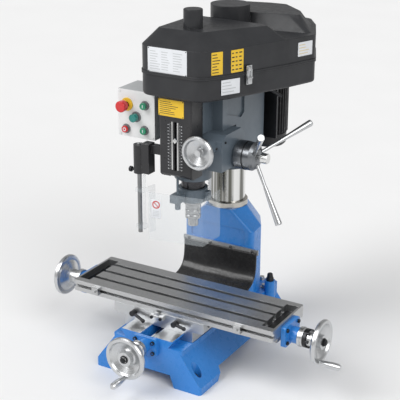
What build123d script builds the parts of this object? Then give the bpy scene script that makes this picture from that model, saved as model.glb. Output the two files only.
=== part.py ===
from build123d import *
import math
import os

# Benchtop milling machine on a round column, in millimetres.
# +X is the operator's right, +Y is to the rear and +Z is up.
# The origin is the centre of the base's bolt pattern, on the floor.

# ---- driving dimensions ----
BASE_LENGTH = 612.0
BASE_WIDTH = 388.0
BASE_BOLT_X = 322.0
BASE_BOLT_Y = 548.0
BASE_BOLT_R = 7.0
FOOT_HEIGHT = 24.0
RIM_WIDTH = 253.0
DECK_Z = 134.0
BASE_WALL = 14.0
WAY_HEIGHT = 25.0
WAY_TOP_HALF = 93.5
WAY_ROOT_HALF = 80.0

COLUMN_Y = 206.0
COLUMN_R = 57.5
COLUMN_BORE_R = 45.0
COLUMN_TOP_Z = 860.0
STAND_HALF = 132.0
STAND_FLANGE = 16.0
STAND_SHOULDER_Z = 370.0
STAND_TOP_Z = 434.0
STAND_ROUND = 16.0
STAND_REAR = 93.0
RING_HEIGHT = 19.0
RING_WALL = 9.0
RACK_DEPTH = 15.0
RACK_WIDTH = 25.0
RACK_PITCH = 9.5

THROAT = 230.0
SADDLE_Y = -130.0
SADDLE_LENGTH = 216.0
SADDLE_HALF = 165.0
SADDLE_FOOT_HALF = 125.0
SADDLE_STEP_Z = 172.0
FLAP_TOP_Z = 293.0
FLAP_LOW_Z = 186.0
FLAP_HALF = 143.0
FLAP_SHIFT = 12.0
FLAP_THICK = 3.0
Y_SCREW_Z = 132.0
Y_SCREW_R = 10.0
X_SCREW_Z = 195.0
X_SCREW_R = 9.0

TABLE_LENGTH = 725.0
TABLE_WIDTH = 212.0
TABLE_TOP = 245.0
TABLE_THICKNESS = 38.0
TABLE_SHIFT = 36.6
SLOT_PITCH = 55.0
SLOT_WIDTH = 14.0
SLOT_FOOT_WIDTH = 24.0
SLOT_NECK_DEPTH = 12.0
SLOT_DEPTH = 22.0
POCKET_RIM = 7.0
POCKET_LENGTH = 40.0
POCKET_HALF = 84.0
TONGUE_DEPTH = 20.0
TONGUE_WIDE = 62.0
TONGUE_NARROW = 52.0
TUNNEL_HALF = 16.0
TUNNEL_BELOW = 17.0
FRONT_SLOT_Z = 226.0
FRONT_NECK_HALF = 5.0
FRONT_FOOT_HALF = 9.0
FRONT_NECK_DEPTH = 5.0
FRONT_SLOT_DEPTH = 11.0

HEAD_BOTTOM_Z = 579.0
HEAD_TOP_Z = 875.0
HEAD_HALF = 96.0
HEAD_UNDER_Z = 600.0
HEAD_REAR = 62.0
QUILL_HOUSING_Z = 596.0
QUILL_HOUSING_WALL = 22.0
BOSS_R = 88.0
PANEL_FRONT = 106.0
PANEL_SIDE = 19.5
PANEL_LOW_Z = 620.0
QUILL_R = 37.5
QUILL_BORE_R = 28.0
QUILL_BOTTOM_Z = 516.0
QUILL_TOP_Z = 820.0
SPINDLE_R = 20.0
SHEAVE_NECK_R = 24.0
NOSE_Z = 431.0
COLLET_BORE_R = 8.0
COLLET_BORE_DEPTH = 40.0
FEED_Z = 676.0
FEED_PINION_R = 19.0
FEED_SHAFT_R = 12.0
FEED_LOW_Z = 640.0
FEED_HIGH_Z = 754.0
FEED_INNER_X = 50.0
FEED_OUTER_X = 126.0
FEED_HUB_R = 46.0
LEVER_REACH = 226.0
LEVER_TILT = 27.7
FINE_X = 86.0
FINE_Z = 719.0
FINE_WHEEL_Y = -142.0
FINE_WHEEL_R = 53.5
FINE_SHAFT_R = 8.0
QUILL_LOCK_Z = 626.0
TENSION_Z = 838.0
COLLAR_R = 47.0
COLLAR_Z = 520.0
COLLAR_HEIGHT = 42.0
DEPTH_ROD_X = -12.0
DEPTH_ROD_Y = -98.0

WHEEL_R = 69.0
CRANK_PIN_R = 61.5
HANDLE_LENGTH = 76.0
HANDLE_PIN_R = 4.0
LEFT_PIN_ANGLE = 54.0
RIGHT_PIN_ANGLE = -22.0
CRANK_Z = 700.0
CRANK_ARM = 64.0

IDLER_X = 150.0
IDLER_Y = 140.0
MOTOR_X = 58.0
MOTOR_Y = 380.0
MOTOR_R = 66.0
MOTOR_SHAFT_R = 12.0
MOTOR_BOTTOM_Z = 605.0
STEP_HEIGHT = 20.0
PULLEY_Z = 905.0
SPINDLE_STEPS = (75.0, 64.0, 53.0, 42.0)
IDLER_STEPS = (36.0, 44.0, 52.0, 60.0)
MOTOR_STEPS = (64.0, 56.0, 48.0, 40.0)

SEAM_Z = 947.0
LID_BAND_Z = 1028.0
LID_TOP_Z = 1070.0
CAP_R = 29.5
CAP_TOP_Z = 1127.0
DOME_R = 63.0
DOME_TOP_Z = 1106.0
SHEET = 2.5

CONTROL_X = -172.0
CONTROL_Y = -80.0
CONTROL_Z = 787.0
CONTROL_WIDTH = 136.0
CONTROL_HEIGHT = 152.0
CONTROL_DEPTH = 110.0

GUARD_X = -147.0
GUARD_Y = -98.0
GUARD_TOP_Z = 556.0
GUARD_BOTTOM_Z = 398.0
GUARD_WALL = 4.0
GUARD_POST_R = 7.0
GUARD_POST_Z = 400.0
GUARD_HOLDER_Z = 603.0
LATCH_ALONG = 66.0
LATCH_STAND_OFF = 3.5
PANEL_THICK = 2.5

# ---- clearances ----
RUNNING = 0.06
SLIDING = 0.3
GAP = 0.5

# ---- places that follow from them ----
SPINDLE_Y = COLUMN_Y - THROAT
WAY_TOP_Z = DECK_Z + WAY_HEIGHT
STAND_FRONT_Y = COLUMN_Y - COLUMN_R - 10.5
TABLE_BOTTOM_Z = TABLE_TOP - TABLE_THICKNESS
TABLE_LEFT = TABLE_SHIFT - TABLE_LENGTH / 2
TABLE_RIGHT = TABLE_SHIFT + TABLE_LENGTH / 2
TABLE_FRONT = SADDLE_Y - TABLE_WIDTH / 2
SADDLE_FRONT = SADDLE_Y - SADDLE_LENGTH / 2
SADDLE_REAR = SADDLE_Y + SADDLE_LENGTH / 2
FEED_Y = SPINDLE_Y + QUILL_R + FEED_PINION_R + 1.0
PANEL_Y = SPINDLE_Y - PANEL_FRONT
PANEL_HALF = QUILL_R + PANEL_SIDE
HEAD_FRONT_Y = SPINDLE_Y - 40.0
TRAY_FLOOR_Z = HEAD_TOP_Z
RACK_X = -COLUMN_R - RUNNING
CONTROL_FRONT = CONTROL_Y
CONTROL_TOP = CONTROL_Z + CONTROL_HEIGHT / 2

LEFT = (-1, 0, 0)
RIGHT = (1, 0, 0)
FRONT = (0, -1, 0)
REAR = (0, 1, 0)
UP = (0, 0, 1)

# The belt cover's outline, seen from above: straight on the left, flared on the right round the idler.
COVER = [
    (-123, -148), (98, -148), (150, -62), (240, 145), (278, 255),
    (216, 388), (160, 470), (40, 500), (-80, 480), (-123, 400),
]
COVER_ROUND = 26.0
COVER_FRONT_ROUND = 44.0
COVER_FLANGE = 3.0
LID_LOW = [(-123, -148), (98, -148), (150, -62), (240, 145), (-123, 170)]
LID_HIGH = [(-94, -79), (60, -73), (100, -8), (188, 124), (-94, 142)]
LID_ROUND = 14.0
HOOD_LOW = [(-70, 250), (62, 228), (262, 252), (205, 380), (150, 455), (40, 486), (-70, 468)]
HOOD_HIGH = [(-52, 270), (59, 247), (208, 282), (180, 345), (89, 427), (30, 424), (-52, 404)]
HOOD_ROUND = 14.0


# ---- shapes used by several pieces ----
def block(low, high, mode=Mode.ADD):
    """A box between two corners."""
    centre = [(a + b) / 2 for a, b in zip(low, high)]
    size = [b - a for a, b in zip(low, high)]
    with Locations(tuple(centre)):
        Box(*size, mode=mode)


def rod(start, direction, radius, length, mode=Mode.ADD):
    """A cylinder that starts at a point and runs along a direction."""
    with Locations(Plane(origin=start, z_dir=direction)):
        Cylinder(radius, length, align=(Align.CENTER, Align.CENTER, Align.MIN), mode=mode)


def turned(start, direction, profile, mode=Mode.ADD):
    """A turned shape: (radius, height) points carried round the direction through start."""
    base = Plane(origin=start, z_dir=direction)
    side = Plane(origin=start, x_dir=base.x_dir, z_dir=-base.y_dir)
    with BuildSketch(side) as section:
        with BuildLine():
            Polyline(*profile, close=True)
        make_face()
    revolve(section.sketch, axis=Axis(start, direction), mode=mode)


def prism(plane, outline, depth, mode=Mode.ADD):
    """A straight prism on a closed outline in a plane."""
    with BuildSketch(plane) as section:
        with BuildLine():
            Polyline(*outline, close=True)
        make_face()
    extrude(section.sketch, amount=depth, mode=mode)


def along_y(y):
    """The plane across Y at y, with local x = X and local y = Z, facing the rear when extruded backwards."""
    return Plane(origin=(0, y, 0), x_dir=(1, 0, 0), z_dir=(0, -1, 0))


def along_x(x):
    """The plane across X at x, with local x = Y and local y = Z."""
    return Plane(origin=(x, 0, 0), x_dir=(0, 1, 0), z_dir=(1, 0, 0))


def rounded(outline, z, radius, inset=0.0, front_radius=0.0):
    """A level outline with rounded corners, drawn in by an inset. The two front corners may be rounder."""
    with BuildSketch(Plane.XY.offset(z)) as level:
        with BuildLine():
            Polyline(*outline, close=True)
        make_face()
        fillet(level.vertices().sort_by(Axis.Y)[2:], radius)
        fillet(level.vertices().sort_by(Axis.Y)[:2], front_radius or radius)
        if inset:
            offset(amount=-inset)
    return level.sketch


def lofted(low, low_z, high, high_z, radius, inset=0.0, mode=Mode.ADD, front_radius=0.0):
    """A body between two level outlines."""
    bottom = rounded(low, low_z, radius, inset, front_radius)
    top = rounded(high, high_z, radius, inset)
    loft([bottom, top], mode=mode)


def cover_slice(z, height, inset=0.0, mode=Mode.ADD):
    """A level slice of the belt cover's outline."""
    extrude(rounded(COVER, z, COVER_ROUND, inset, COVER_FRONT_ROUND), amount=height, mode=mode)


def tongue(clearance):
    """The table's dovetail tongue in the plane across X, grown by a clearance."""
    low = TABLE_BOTTOM_Z - TONGUE_DEPTH - clearance
    wide = TONGUE_WIDE + clearance
    narrow = TONGUE_NARROW + clearance
    return [(SADDLE_Y - wide, low), (SADDLE_Y + wide, low), (SADDLE_Y + narrow, TABLE_BOTTOM_Z + 1),
            (SADDLE_Y - narrow, TABLE_BOTTOM_Z + 1)]


def on_wheel(angle):
    """The Y and Z of a handle's pin on a long-feed handwheel, at an angle from its lowest point."""
    turn = math.radians(angle)
    return SADDLE_Y + CRANK_PIN_R * math.sin(turn), X_SCREW_Z - CRANK_PIN_R * math.cos(turn)


def handwheel(centre, direction, bore, behind):
    """A dished handwheel: hub, conical web and heavy rim, with a hole for the handle's pin."""
    start = tuple(c - d * behind for c, d in zip(centre, direction))
    rim = behind
    turned(start, direction, [
        (bore, 0), (24, 0), (24, rim - 24), (30, rim - 20), (53, rim - 8), (58, rim - 8),
        (66, rim - 7), (WHEEL_R, rim - 3), (WHEEL_R, rim + 3), (66, rim + 7), (57, rim + 7),
        (52, rim + 1), (28, rim - 12), (23, rim - 9), (23, rim + 8), (bore, rim + 8),
    ])


def crank_handle(pin, direction, hole_back):
    """A turned grip on its pin. The pin runs in the wheel's rim."""
    turned(pin, direction, [
        (0, -hole_back), (6.5, -hole_back), (6.5, -8 - GAP), (HANDLE_PIN_R, -8 - GAP),
        (HANDLE_PIN_R, 7 + GAP), (7, 7 + GAP),
        (8, 12), (11.5, 44), (11, HANDLE_LENGTH - 8), (7, HANDLE_LENGTH - 1), (0, HANDLE_LENGTH),
    ])


def pulley(start, steps, bore):
    """A step pulley with one V groove a step, from its lowest step up."""
    profile = [(bore, 0)]
    for number, radius in enumerate(steps):
        low = number * STEP_HEIGHT
        middle = low + STEP_HEIGHT / 2
        profile += [
            (radius + 2, low), (radius + 2, middle - 7), (radius - 8, middle - 6),
            (radius - 8, middle + 6), (radius + 2, middle + 7), (radius + 2, low + STEP_HEIGHT),
        ]
    profile.append((bore, len(steps) * STEP_HEIGHT))
    turned(start, UP, profile)


def belt(first, first_r, second, second_r, z):
    """A V-belt round two pulleys: the band between two hulls."""
    for grow, height, mode in ((1.0, 9.0, Mode.ADD), (-5.5, 10.0, Mode.SUBTRACT)):
        with BuildSketch(Plane.XY.offset(z - height / 2)) as loop:
            with Locations(first):
                Circle(first_r + grow)
            with Locations(second):
                Circle(second_r + grow)
            make_hull(loop.edges())
        extrude(loop.sketch, amount=height, mode=mode)


pieces = []


def finish(builder, name):
    """Label a piece and keep it for export."""
    builder.part.label = name
    pieces.append(builder.part)


# ---- base ----
with BuildPart() as base_casting:
    half = BASE_WIDTH / 2
    rim = RIM_WIDTH / 2
    rear = BASE_LENGTH / 2
    outer = [(-half, 0), (half, 0), (half, FOOT_HEIGHT), (rim, DECK_Z - 18), (rim, DECK_Z),
             (-rim, DECK_Z), (-rim, DECK_Z - 18), (-half, FOOT_HEIGHT)]
    prism(along_y(-rear), outer, -BASE_LENGTH)
    plinth = STAND_HALF + STAND_FLANGE
    block((-plinth, STAND_FRONT_Y - 8, FOOT_HEIGHT), (plinth, rear, DECK_Z))
    fillet(base_casting.edges().filter_by(Axis.Z), 10)
    inner = [(-half + BASE_WALL, -1), (half - BASE_WALL, -1), (half - BASE_WALL, 14),
             (rim - BASE_WALL, 90), (-rim + BASE_WALL, 90), (-half + BASE_WALL, 14)]
    prism(along_y(-rear + BASE_WALL), inner, -(BASE_LENGTH - 2 * BASE_WALL), Mode.SUBTRACT)
    for side in (-1, 1):
        for end in (-1, 1):
            x = side * BASE_BOLT_X / 2
            y = end * BASE_BOLT_Y / 2
            rod((x, y, 0), UP, 26, FOOT_HEIGHT - 4)
    front_arch = [(-99, -1), (99, -1), (84, 42), (-84, 42)]
    prism(along_y(-rear - 1), front_arch, -(BASE_LENGTH + 2), Mode.SUBTRACT)
    side_arch = [(-196, -1), (196, -1), (172, 40), (-172, 40)]
    prism(along_x(-half - 1), side_arch, BASE_WIDTH + 2, Mode.SUBTRACT)
    for side in (-1, 1):
        for end in (-1, 1):
            x = side * BASE_BOLT_X / 2
            y = end * BASE_BOLT_Y / 2
            rod((x, y, -1), UP, BASE_BOLT_R, FOOT_HEIGHT + 60, Mode.SUBTRACT)
            rod((x, y, FOOT_HEIGHT - 4), UP, 16, 80, Mode.SUBTRACT)
    way = [(-WAY_ROOT_HALF, DECK_Z - 1), (WAY_ROOT_HALF, DECK_Z - 1), (WAY_ROOT_HALF, DECK_Z + 3),
           (WAY_TOP_HALF, WAY_TOP_Z - 5), (WAY_TOP_HALF, WAY_TOP_Z), (-WAY_TOP_HALF, WAY_TOP_Z),
           (-WAY_TOP_HALF, WAY_TOP_Z - 5), (-WAY_ROOT_HALF, DECK_Z + 3)]
    prism(along_y(-rear), way, -(rear + STAND_FRONT_Y - 8))
    block((-24, -rear - 1, Y_SCREW_Z - 20), (24, STAND_FRONT_Y - 20, WAY_TOP_Z + 1), Mode.SUBTRACT)
    rod((plinth + 11, COLUMN_Y + 14, DECK_Z - 70), UP, 18, 110)
finish(base_casting, "base_casting")

with BuildPart() as column_stand:
    side = STAND_HALF - 8
    back_half = STAND_HALF - 56
    plan = [(-STAND_HALF, STAND_FRONT_Y), (STAND_HALF, STAND_FRONT_Y), (side, COLUMN_Y + 8),
            (back_half, COLUMN_Y + STAND_REAR), (-back_half, COLUMN_Y + STAND_REAR), (-side, COLUMN_Y + 8)]
    top_front = COLUMN_Y - COLUMN_R - RING_WALL
    top_side = COLUMN_R + 14.5
    top_rear = COLUMN_Y + COLUMN_R + 10.5
    top = [(-48, top_front), (48, top_front), (top_side, COLUMN_Y), (40, top_rear),
           (-40, top_rear), (-top_side, COLUMN_Y)]
    lofted(plan, DECK_Z, plan, STAND_SHOULDER_Z, STAND_ROUND)
    lofted(plan, STAND_SHOULDER_Z, top, STAND_TOP_Z, STAND_ROUND)
    with BuildSketch(Plane(origin=(0, STAND_FRONT_Y, 0), x_dir=(1, 0, 0), z_dir=(0, -1, 0))) as recess:
        with Locations((0, STAND_SHOULDER_Z - 25)):
            RectangleRounded(1.56 * STAND_HALF, 60, 14)
    extrude(recess.sketch, amount=-4, mode=Mode.SUBTRACT)
    rod((0, COLUMN_Y, DECK_Z + 16), UP, COLUMN_R, STAND_TOP_Z, Mode.SUBTRACT)
finish(column_stand, "column_stand")

with BuildPart() as column_ring:
    turned((0, COLUMN_Y, STAND_TOP_Z), UP, [
        (COLUMN_R, 0), (COLUMN_R + RING_WALL, 0), (COLUMN_R + RING_WALL, RING_HEIGHT - 2),
        (COLUMN_R + RING_WALL - 2, RING_HEIGHT), (COLUMN_R, RING_HEIGHT)])
finish(column_ring, "column_ring")

with BuildPart() as column_tube:
    turned((0, COLUMN_Y, DECK_Z + 16), UP, [
        (COLUMN_BORE_R, 0), (COLUMN_R, 0), (COLUMN_R, COLUMN_TOP_Z - DECK_Z - 18),
        (COLUMN_R - 2, COLUMN_TOP_Z - DECK_Z - 16), (COLUMN_BORE_R, COLUMN_TOP_Z - DECK_Z - 16)])
finish(column_tube, "column_tube")

STRIP_Y = STAND_FRONT_Y - 5.0
with BuildPart() as flap_strip:
    strip_low = FLAP_TOP_Z + 3
    strip_high = strip_low + 18
    block((FLAP_SHIFT - FLAP_HALF, STRIP_Y, strip_low), (FLAP_SHIFT + FLAP_HALF, STAND_FRONT_Y, strip_high))
    for place in (-0.85, -0.28, 0.28, 0.85):
        rod((FLAP_SHIFT + place * FLAP_HALF, STRIP_Y, (strip_low + strip_high) / 2), FRONT, 5, 3)
finish(flap_strip, "flap_strip")

with BuildPart() as way_cover:
    flap_path = [(STAND_FRONT_Y - 6, FLAP_TOP_Z), (STAND_FRONT_Y - 12, FLAP_TOP_Z - 53),
                 (STAND_FRONT_Y - 30, FLAP_LOW_Z + 19), (STAND_FRONT_Y - 68, FLAP_LOW_Z + 2),
                 (SADDLE_REAR + 1, FLAP_LOW_Z)]
    back = [(y + FLAP_THICK * 0.6, z - FLAP_THICK) for y, z in reversed(flap_path[1:])]
    outline = [*flap_path, *back, (STAND_FRONT_Y - 6 + FLAP_THICK, FLAP_TOP_Z)]
    prism(along_x(FLAP_SHIFT - FLAP_HALF + 4), outline, 2 * FLAP_HALF - 8)
finish(way_cover, "way_cover")

with BuildPart() as y_bracket:
    front = -BASE_LENGTH / 2
    block((-44, front - 14, Y_SCREW_Z - 34), (44, front, WAY_TOP_Z - SLIDING))
    fillet(y_bracket.edges().filter_by(Axis.Y), 8)
    rod((0, front - 10, Y_SCREW_Z), FRONT, 24, 34)
    rod((0, front + 1, Y_SCREW_Z), FRONT, Y_SCREW_R + RUNNING, 60, Mode.SUBTRACT)
    for x in (-32, 32):
        for z in (Y_SCREW_Z - 22, Y_SCREW_Z + 14):
            rod((x, front - 14, z), FRONT, 6, 5)
finish(y_bracket, "y_bracket")

# ---- cross-feed screw ----
Y_DIAL_Y = -BASE_LENGTH / 2 - 44 - GAP
Y_WHEEL_Y = Y_DIAL_Y - 24 - 48
with BuildPart() as y_leadscrew:
    rod((0, Y_WHEEL_Y - 14, Y_SCREW_Z), REAR, Y_SCREW_R, -Y_WHEEL_Y + 14 + STAND_FRONT_Y - 30)
finish(y_leadscrew, "y_leadscrew")

with BuildPart() as y_dial:
    turned((0, Y_DIAL_Y, Y_SCREW_Z), FRONT, [
        (Y_SCREW_R, 0), (29, 0), (30, 1), (30, 15), (27, 18), (27, 23.5), (Y_SCREW_R, 23.5)])
finish(y_dial, "y_dial")

with BuildPart() as y_handwheel:
    handwheel((0, Y_WHEEL_Y, Y_SCREW_Z), FRONT, Y_SCREW_R, 48)
    rod((0, Y_WHEEL_Y + 20, Y_SCREW_Z - CRANK_PIN_R), FRONT, HANDLE_PIN_R + RUNNING, 40, Mode.SUBTRACT)
finish(y_handwheel, "y_handwheel")

with BuildPart() as y_handle:
    crank_handle((0, Y_WHEEL_Y, Y_SCREW_Z - CRANK_PIN_R), FRONT, 11)
finish(y_handle, "y_handle")

# ---- saddle ----
with BuildPart() as saddle:
    top = TABLE_BOTTOM_Z - SLIDING
    block((-SADDLE_FOOT_HALF, SADDLE_FRONT, DECK_Z + 1.5), (SADDLE_FOOT_HALF, SADDLE_REAR, SADDLE_STEP_Z))
    step = [(-SADDLE_HALF, SADDLE_STEP_Z + 6), (-SADDLE_HALF + 8, SADDLE_STEP_Z - 1),
            (SADDLE_HALF - 8, SADDLE_STEP_Z - 1), (SADDLE_HALF, SADDLE_STEP_Z + 6),
            (SADDLE_HALF, top), (-SADDLE_HALF, top)]
    prism(along_y(SADDLE_FRONT), step, -SADDLE_LENGTH)
    wide = WAY_TOP_HALF + SLIDING
    root = WAY_ROOT_HALF + SLIDING
    groove = [(-root, DECK_Z - 1), (root, DECK_Z - 1), (root, DECK_Z + 3), (wide, WAY_TOP_Z - 5),
              (wide, WAY_TOP_Z + SLIDING), (-wide, WAY_TOP_Z + SLIDING), (-wide, WAY_TOP_Z - 5),
              (-root, DECK_Z + 3)]
    prism(along_y(SADDLE_FRONT - 1), groove, -(SADDLE_LENGTH + 2), Mode.SUBTRACT)
    prism(along_x(-SADDLE_HALF - 1), tongue(SLIDING), 2 * SADDLE_HALF + 2, Mode.SUBTRACT)
    block((-SADDLE_HALF - 1, SADDLE_Y - TUNNEL_HALF, X_SCREW_Z - TUNNEL_BELOW),
          (SADDLE_HALF + 1, SADDLE_Y + TUNNEL_HALF, top + 1), Mode.SUBTRACT)
finish(saddle, "saddle")

with BuildPart() as feed_nuts:
    block((-20, SADDLE_Y - 22, Y_SCREW_Z - 16), (20, SADDLE_Y + 22, WAY_TOP_Z + SLIDING))
    rod((0, SADDLE_Y - 23, Y_SCREW_Z), REAR, Y_SCREW_R + SLIDING, 46, Mode.SUBTRACT)
    nut = TUNNEL_HALF - 1
    block((-16, SADDLE_Y - nut, X_SCREW_Z - TUNNEL_BELOW), (16, SADDLE_Y + nut, TABLE_BOTTOM_Z - 1))
    rod((-17, SADDLE_Y, X_SCREW_Z), RIGHT, X_SCREW_R + SLIDING, 34, Mode.SUBTRACT)
finish(feed_nuts, "feed_nuts")

LOCK_Z = SADDLE_STEP_Z + 16
LOCKS = (
    ("left_lock_lever", -88.0, (0.94, -0.2, -0.28), 46.0),
    ("right_lock_lever", 66.0, (0.984, -0.15, -0.1), 38.0),
)
for name, x, way, reach in LOCKS:
    with BuildPart() as lock_lever:
        start = (x, SADDLE_FRONT - 10, LOCK_Z)
        rod((x, SADDLE_FRONT - GAP, LOCK_Z), FRONT, 9, 18)
        rod(start, way, 5, reach)
        with Locations(tuple(a + reach * b for a, b in zip(start, way))):
            Sphere(6.5)
    finish(lock_lever, name)

# ---- table ----
with BuildPart() as table:
    rear_edge = SADDLE_Y + TABLE_WIDTH / 2
    block((TABLE_LEFT, TABLE_FRONT, TABLE_BOTTOM_Z), (TABLE_RIGHT, rear_edge, TABLE_TOP))
    fillet(table.edges().filter_by(Axis.Z), 5)
    prism(along_x(TABLE_LEFT + 6), tongue(0.0), TABLE_LENGTH - 12)
    block((TABLE_LEFT - 1, SADDLE_Y - TUNNEL_HALF, TABLE_BOTTOM_Z - TONGUE_DEPTH - 1),
          (TABLE_RIGHT + 1, SADDLE_Y + TUNNEL_HALF, TABLE_BOTTOM_Z + 2), Mode.SUBTRACT)
    slot_left = TABLE_LEFT + POCKET_RIM + POCKET_LENGTH
    slot_right = TABLE_RIGHT - POCKET_RIM - POCKET_LENGTH
    for row in (-1, 0, 1):
        y = SADDLE_Y + row * SLOT_PITCH
        block((slot_left - 1, y - SLOT_WIDTH / 2, TABLE_TOP - SLOT_NECK_DEPTH),
              (slot_right + 1, y + SLOT_WIDTH / 2, TABLE_TOP + 1), Mode.SUBTRACT)
        block((slot_left - 1, y - SLOT_FOOT_WIDTH / 2, TABLE_TOP - SLOT_DEPTH),
              (slot_right + 1, y + SLOT_FOOT_WIDTH / 2, TABLE_TOP - SLOT_NECK_DEPTH), Mode.SUBTRACT)
    for pocket_left in (TABLE_LEFT + POCKET_RIM, slot_right):
        block((pocket_left, SADDLE_Y - POCKET_HALF, TABLE_TOP - SLOT_DEPTH),
              (pocket_left + POCKET_LENGTH, SADDLE_Y + POCKET_HALF, TABLE_TOP + 1), Mode.SUBTRACT)
    block((TABLE_LEFT - 1, TABLE_FRONT - 1, FRONT_SLOT_Z - FRONT_NECK_HALF),
          (TABLE_RIGHT + 1, TABLE_FRONT + FRONT_NECK_DEPTH, FRONT_SLOT_Z + FRONT_NECK_HALF), Mode.SUBTRACT)
    block((TABLE_LEFT - 1, TABLE_FRONT + FRONT_NECK_DEPTH, FRONT_SLOT_Z - FRONT_FOOT_HALF),
          (TABLE_RIGHT + 1, TABLE_FRONT + FRONT_SLOT_DEPTH, FRONT_SLOT_Z + FRONT_FOOT_HALF), Mode.SUBTRACT)
finish(table, "table")

STOP_SPOTS = (("left_table_stop", TABLE_LEFT + 90.0), ("right_table_stop", TABLE_RIGHT - 115.0))
for name, x in STOP_SPOTS:
    with BuildPart() as table_stop:
        face = TABLE_FRONT - SLIDING
        neck = FRONT_NECK_HALF - GAP
        foot = FRONT_FOOT_HALF - 1
        block((x - 12, face - 12, FRONT_SLOT_Z - 12), (x + 12, face, FRONT_SLOT_Z + 12))
        block((x - 10, face, FRONT_SLOT_Z - neck),
              (x + 10, TABLE_FRONT + FRONT_NECK_DEPTH + GAP, FRONT_SLOT_Z + neck))
        block((x - 10, TABLE_FRONT + FRONT_NECK_DEPTH + GAP, FRONT_SLOT_Z - foot),
              (x + 10, TABLE_FRONT + FRONT_SLOT_DEPTH - GAP, FRONT_SLOT_Z + foot))
        rod((x, face - 12, FRONT_SLOT_Z), FRONT, 5, 6)
    finish(table_stop, name)

with BuildPart() as x_brackets:
    for edge, way in ((TABLE_LEFT, LEFT), (TABLE_RIGHT, RIGHT)):
        sign = way[0]
        low_x = min(edge, edge + sign * 15)
        block((low_x, SADDLE_Y - 50, X_SCREW_Z - 27), (low_x + 15, SADDLE_Y + 50, TABLE_TOP - 9))
        rod((edge + sign * 13, SADDLE_Y, X_SCREW_Z), way, 26, 28)
    fillet(x_brackets.edges().filter_by(Axis.X).filter_by(GeomType.LINE), 9)
    rod((TABLE_LEFT - 60, SADDLE_Y, X_SCREW_Z), RIGHT, X_SCREW_R + RUNNING, TABLE_LENGTH + 120, Mode.SUBTRACT)
finish(x_brackets, "x_brackets")

# ---- long-feed screw ----
X_LEFT_DIAL = TABLE_LEFT - 41 - GAP
X_RIGHT_DIAL = TABLE_RIGHT + 41 + GAP
X_LEFT_WHEEL = X_LEFT_DIAL - 17 - 50
X_RIGHT_WHEEL = X_RIGHT_DIAL + 17 + 52
with BuildPart() as x_leadscrew:
    rod((X_LEFT_WHEEL - 14, SADDLE_Y, X_SCREW_Z), RIGHT, X_SCREW_R, X_RIGHT_WHEEL - X_LEFT_WHEEL + 28)
finish(x_leadscrew, "x_leadscrew")

with BuildPart() as x_dials:
    for start, way in ((X_LEFT_DIAL, LEFT), (X_RIGHT_DIAL, RIGHT)):
        turned((start, SADDLE_Y, X_SCREW_Z), way, [
            (X_SCREW_R, 0), (30, 0), (31, 1), (31, 13), (29, 16.5), (X_SCREW_R, 16.5)])
finish(x_dials, "x_dials")

with BuildPart() as x_handwheels:
    for x, way, back, angle in (
            (X_LEFT_WHEEL, LEFT, 50, LEFT_PIN_ANGLE), (X_RIGHT_WHEEL, RIGHT, 52, RIGHT_PIN_ANGLE)):
        handwheel((x, SADDLE_Y, X_SCREW_Z), way, X_SCREW_R, back)
        rod((x - way[0] * 20, *on_wheel(angle)), way, HANDLE_PIN_R + RUNNING, 40, Mode.SUBTRACT)
finish(x_handwheels, "x_handwheels")

for name, x, way, angle in (
        ("left_handle", X_LEFT_WHEEL, LEFT, LEFT_PIN_ANGLE),
        ("right_handle", X_RIGHT_WHEEL, RIGHT, RIGHT_PIN_ANGLE)):
    with BuildPart() as x_handle:
        crank_handle((x, *on_wheel(angle)), way, 11)
    finish(x_handle, name)

# ---- column rack, free to swivel round the column ----
with BuildPart() as column_rack:
    rack_low = STAND_TOP_Z + RING_HEIGHT + SLIDING
    rack_high = COLUMN_TOP_Z - 8
    rack_half = RACK_WIDTH / 2
    block((RACK_X - RACK_DEPTH, COLUMN_Y - rack_half, rack_low),
          (RACK_X + 12, COLUMN_Y + rack_half, rack_high))
    rod((0, COLUMN_Y, rack_low - 1), UP, COLUMN_R + RUNNING, rack_high - rack_low + 2, Mode.SUBTRACT)
    teeth = int((rack_high - rack_low - 20) / RACK_PITCH)
    for number in range(teeth):
        z = rack_low + 14 + number * RACK_PITCH
        notch = [(RACK_X - RACK_DEPTH - 1, z - 3.4), (RACK_X - RACK_DEPTH + 5.5, z - 1.4),
                 (RACK_X - RACK_DEPTH + 5.5, z + 1.4), (RACK_X - RACK_DEPTH - 1, z + 3.4)]
        prism(along_y(COLUMN_Y - RACK_WIDTH / 2 - 1), notch, -(RACK_WIDTH + 2), Mode.SUBTRACT)
finish(column_rack, "column_rack")

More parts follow.
